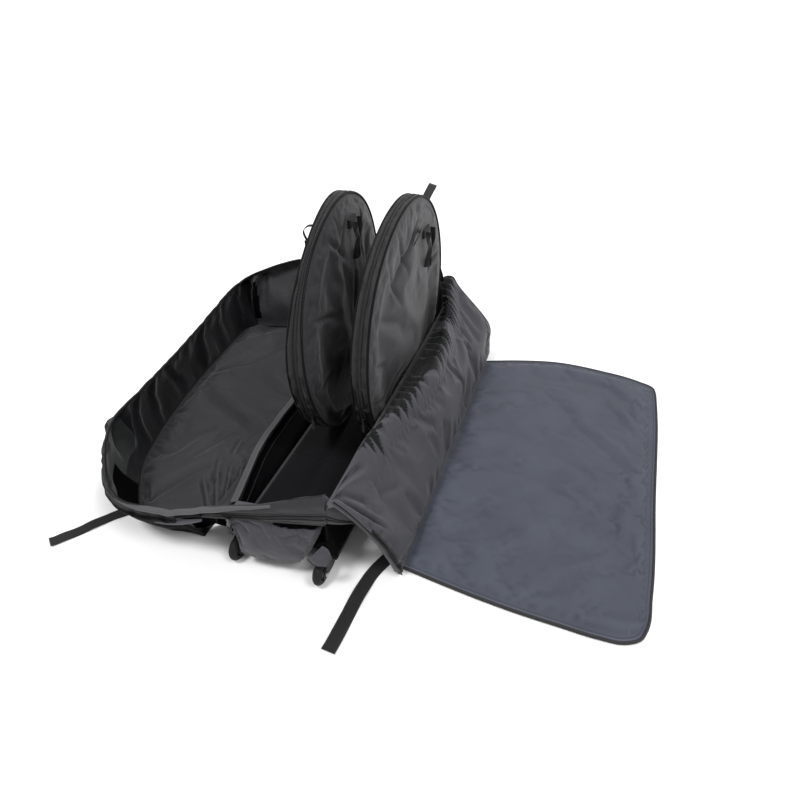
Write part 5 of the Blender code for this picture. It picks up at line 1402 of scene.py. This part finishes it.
def pull_tab(length, width, thick):
    """A moulded zip pull: a tab with a narrow neck and grip ridges, hanging along -Z."""
    t = np.linspace(0, 1, 40)[:, None]
    w = width / 2 * (0.55 + 0.45 * step(t, 0.10, 0.45)) * np.sqrt(1 - step(t, 0.93, 1.04) ** 2)
    ridges = thick / 2 * (0.75 + 0.25 * np.abs(np.sin(t * 34)) * between(t, 0.35, 0.5, 0.85, 0.95))
    turn = np.linspace(0, 2 * math.pi, 16, endpoint=False)
    return rings(joined(np.cos(turn) * w, np.sin(turn) * ridges, -length * t))


def make_pulls():
    for which in BAG_PLACES:
        low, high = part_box(which + "_bag_pull")
        middle = (low + high) / 2
        spin = Matrix.Translation((middle.x, middle.y, high.z)) @ bag_matrix(which).to_3x3().to_4x4()
        build(which + "_bag_zip_pull", [pull_tab(high.z - low.z, 0.009, 0.0028)], [CORD],
              which + "_slider_pull", which + "_bag_pull", at=spin)


def make_cord_pull():
    """The main slider's pull: a doubled cord, its knot and two loose ends."""
    low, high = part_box("main_zip_pull")
    middle = (low + high) / 2
    place, long = (middle.x, middle.y, high.z), high.z - low.z
    t = np.linspace(0, 1, 30)
    parts = [tube(joined(side * 0.0024 * np.cos(t * 5), 0.0012 * np.sin(t * 7), -long * t * 0.48)
                  + place, 0.0026, ALONG) for side in (-1, 1)]
    t = np.linspace(0, 2 * math.pi, 60)
    knot = joined(0.0042 * np.cos(2 * t), 0.0040 * np.sin(3 * t), 0.0048 * np.sin(t) - long * 0.52)
    parts.append(tube(knot + place, 0.0034, (0.3, 0.2, 1)))
    t = np.linspace(0, 1, 24)
    for side in (-1, 1):
        end = joined(side * (0.0035 * t + 0.001), -0.001 * t, -long * (0.55 + 0.44 * t))
        parts.append(tube(end + place, 0.0030 + 0.0012 * step(t, 0.80, 1.0), ALONG))
    build("main_zip_cord_pull", parts, [PALE_CORD, PALE_CORD, CORD, CORD, CORD],
          "main_slider_pull", "main_zip_pull")


# Camera, floor and light

SUNS = {"key": ((-0.7, -0.9, 2.4), 1.7, 0.25), "fill": ((1.4, -0.5, 2.0), 1.4, 0.35),
        "back": ((0.3, 1.6, 2.0), 1.1, 0.30)}


def make_camera():
    data = bpy.data.cameras.new("camera")
    data.sensor_width = 36.0
    data.lens = 27.015
    camera = linked("camera", data)
    camera.location = (0.6534, -1.9743, 1.4051)
    camera.rotation_euler = (math.pi / 2 - 0.661814, 0.0, 0.328921)
    bpy.context.scene.camera = camera


def make_stage():
    data = bpy.data.meshes.new("floor")
    data.from_pydata([(-60, -60, 0), (60, -60, 0), (60, 60, 0), (-60, 60, 0)], [], [(0, 1, 2, 3)])
    made, tree, shader = started("floor_paint")
    feed(tree, shader, {"Base Color": (0.88, 0.88, 0.88, 1), "Roughness": 0.9})
    data.materials.append(made)
    linked("studio_floor", data)
    world = bpy.data.worlds.new("studio")
    world.use_nodes = True
    feed(world.node_tree, world.node_tree.nodes["Background"], {
        "Color": (1, 1, 1, 1), "Strength": 0.50})
    bpy.context.scene.world = world
    for name, (place, power, size) in SUNS.items():
        data = bpy.data.lights.new(name, "SUN")
        data.energy = power
        data.angle = size
        light = linked(name, data)
        light.location = place
        light.rotation_euler = (-Vector(place)).to_track_quat("-Z", "Y").to_euler()
    bpy.context.scene.view_settings.view_transform = "Standard"


make_camera()
make_shell()
make_left_strap()
make_base_pad()
make_side_wall()
make_far_wall()
make_rim_pad()
make_near_strip()
make_end_panel()
make_near_webs()
make_corner_gussets()
make_near_corner()
make_shoulder()
make_right_strap()
make_lid()
make_bag("left", 201)
make_bag("right", 231)
make_bag_handles()
make_top_loop()
make_side_tab()
make_corner_tab()
make_pulls()
make_cord_pull()
make_fold_cloth()
dress_hard_parts()
make_stage()
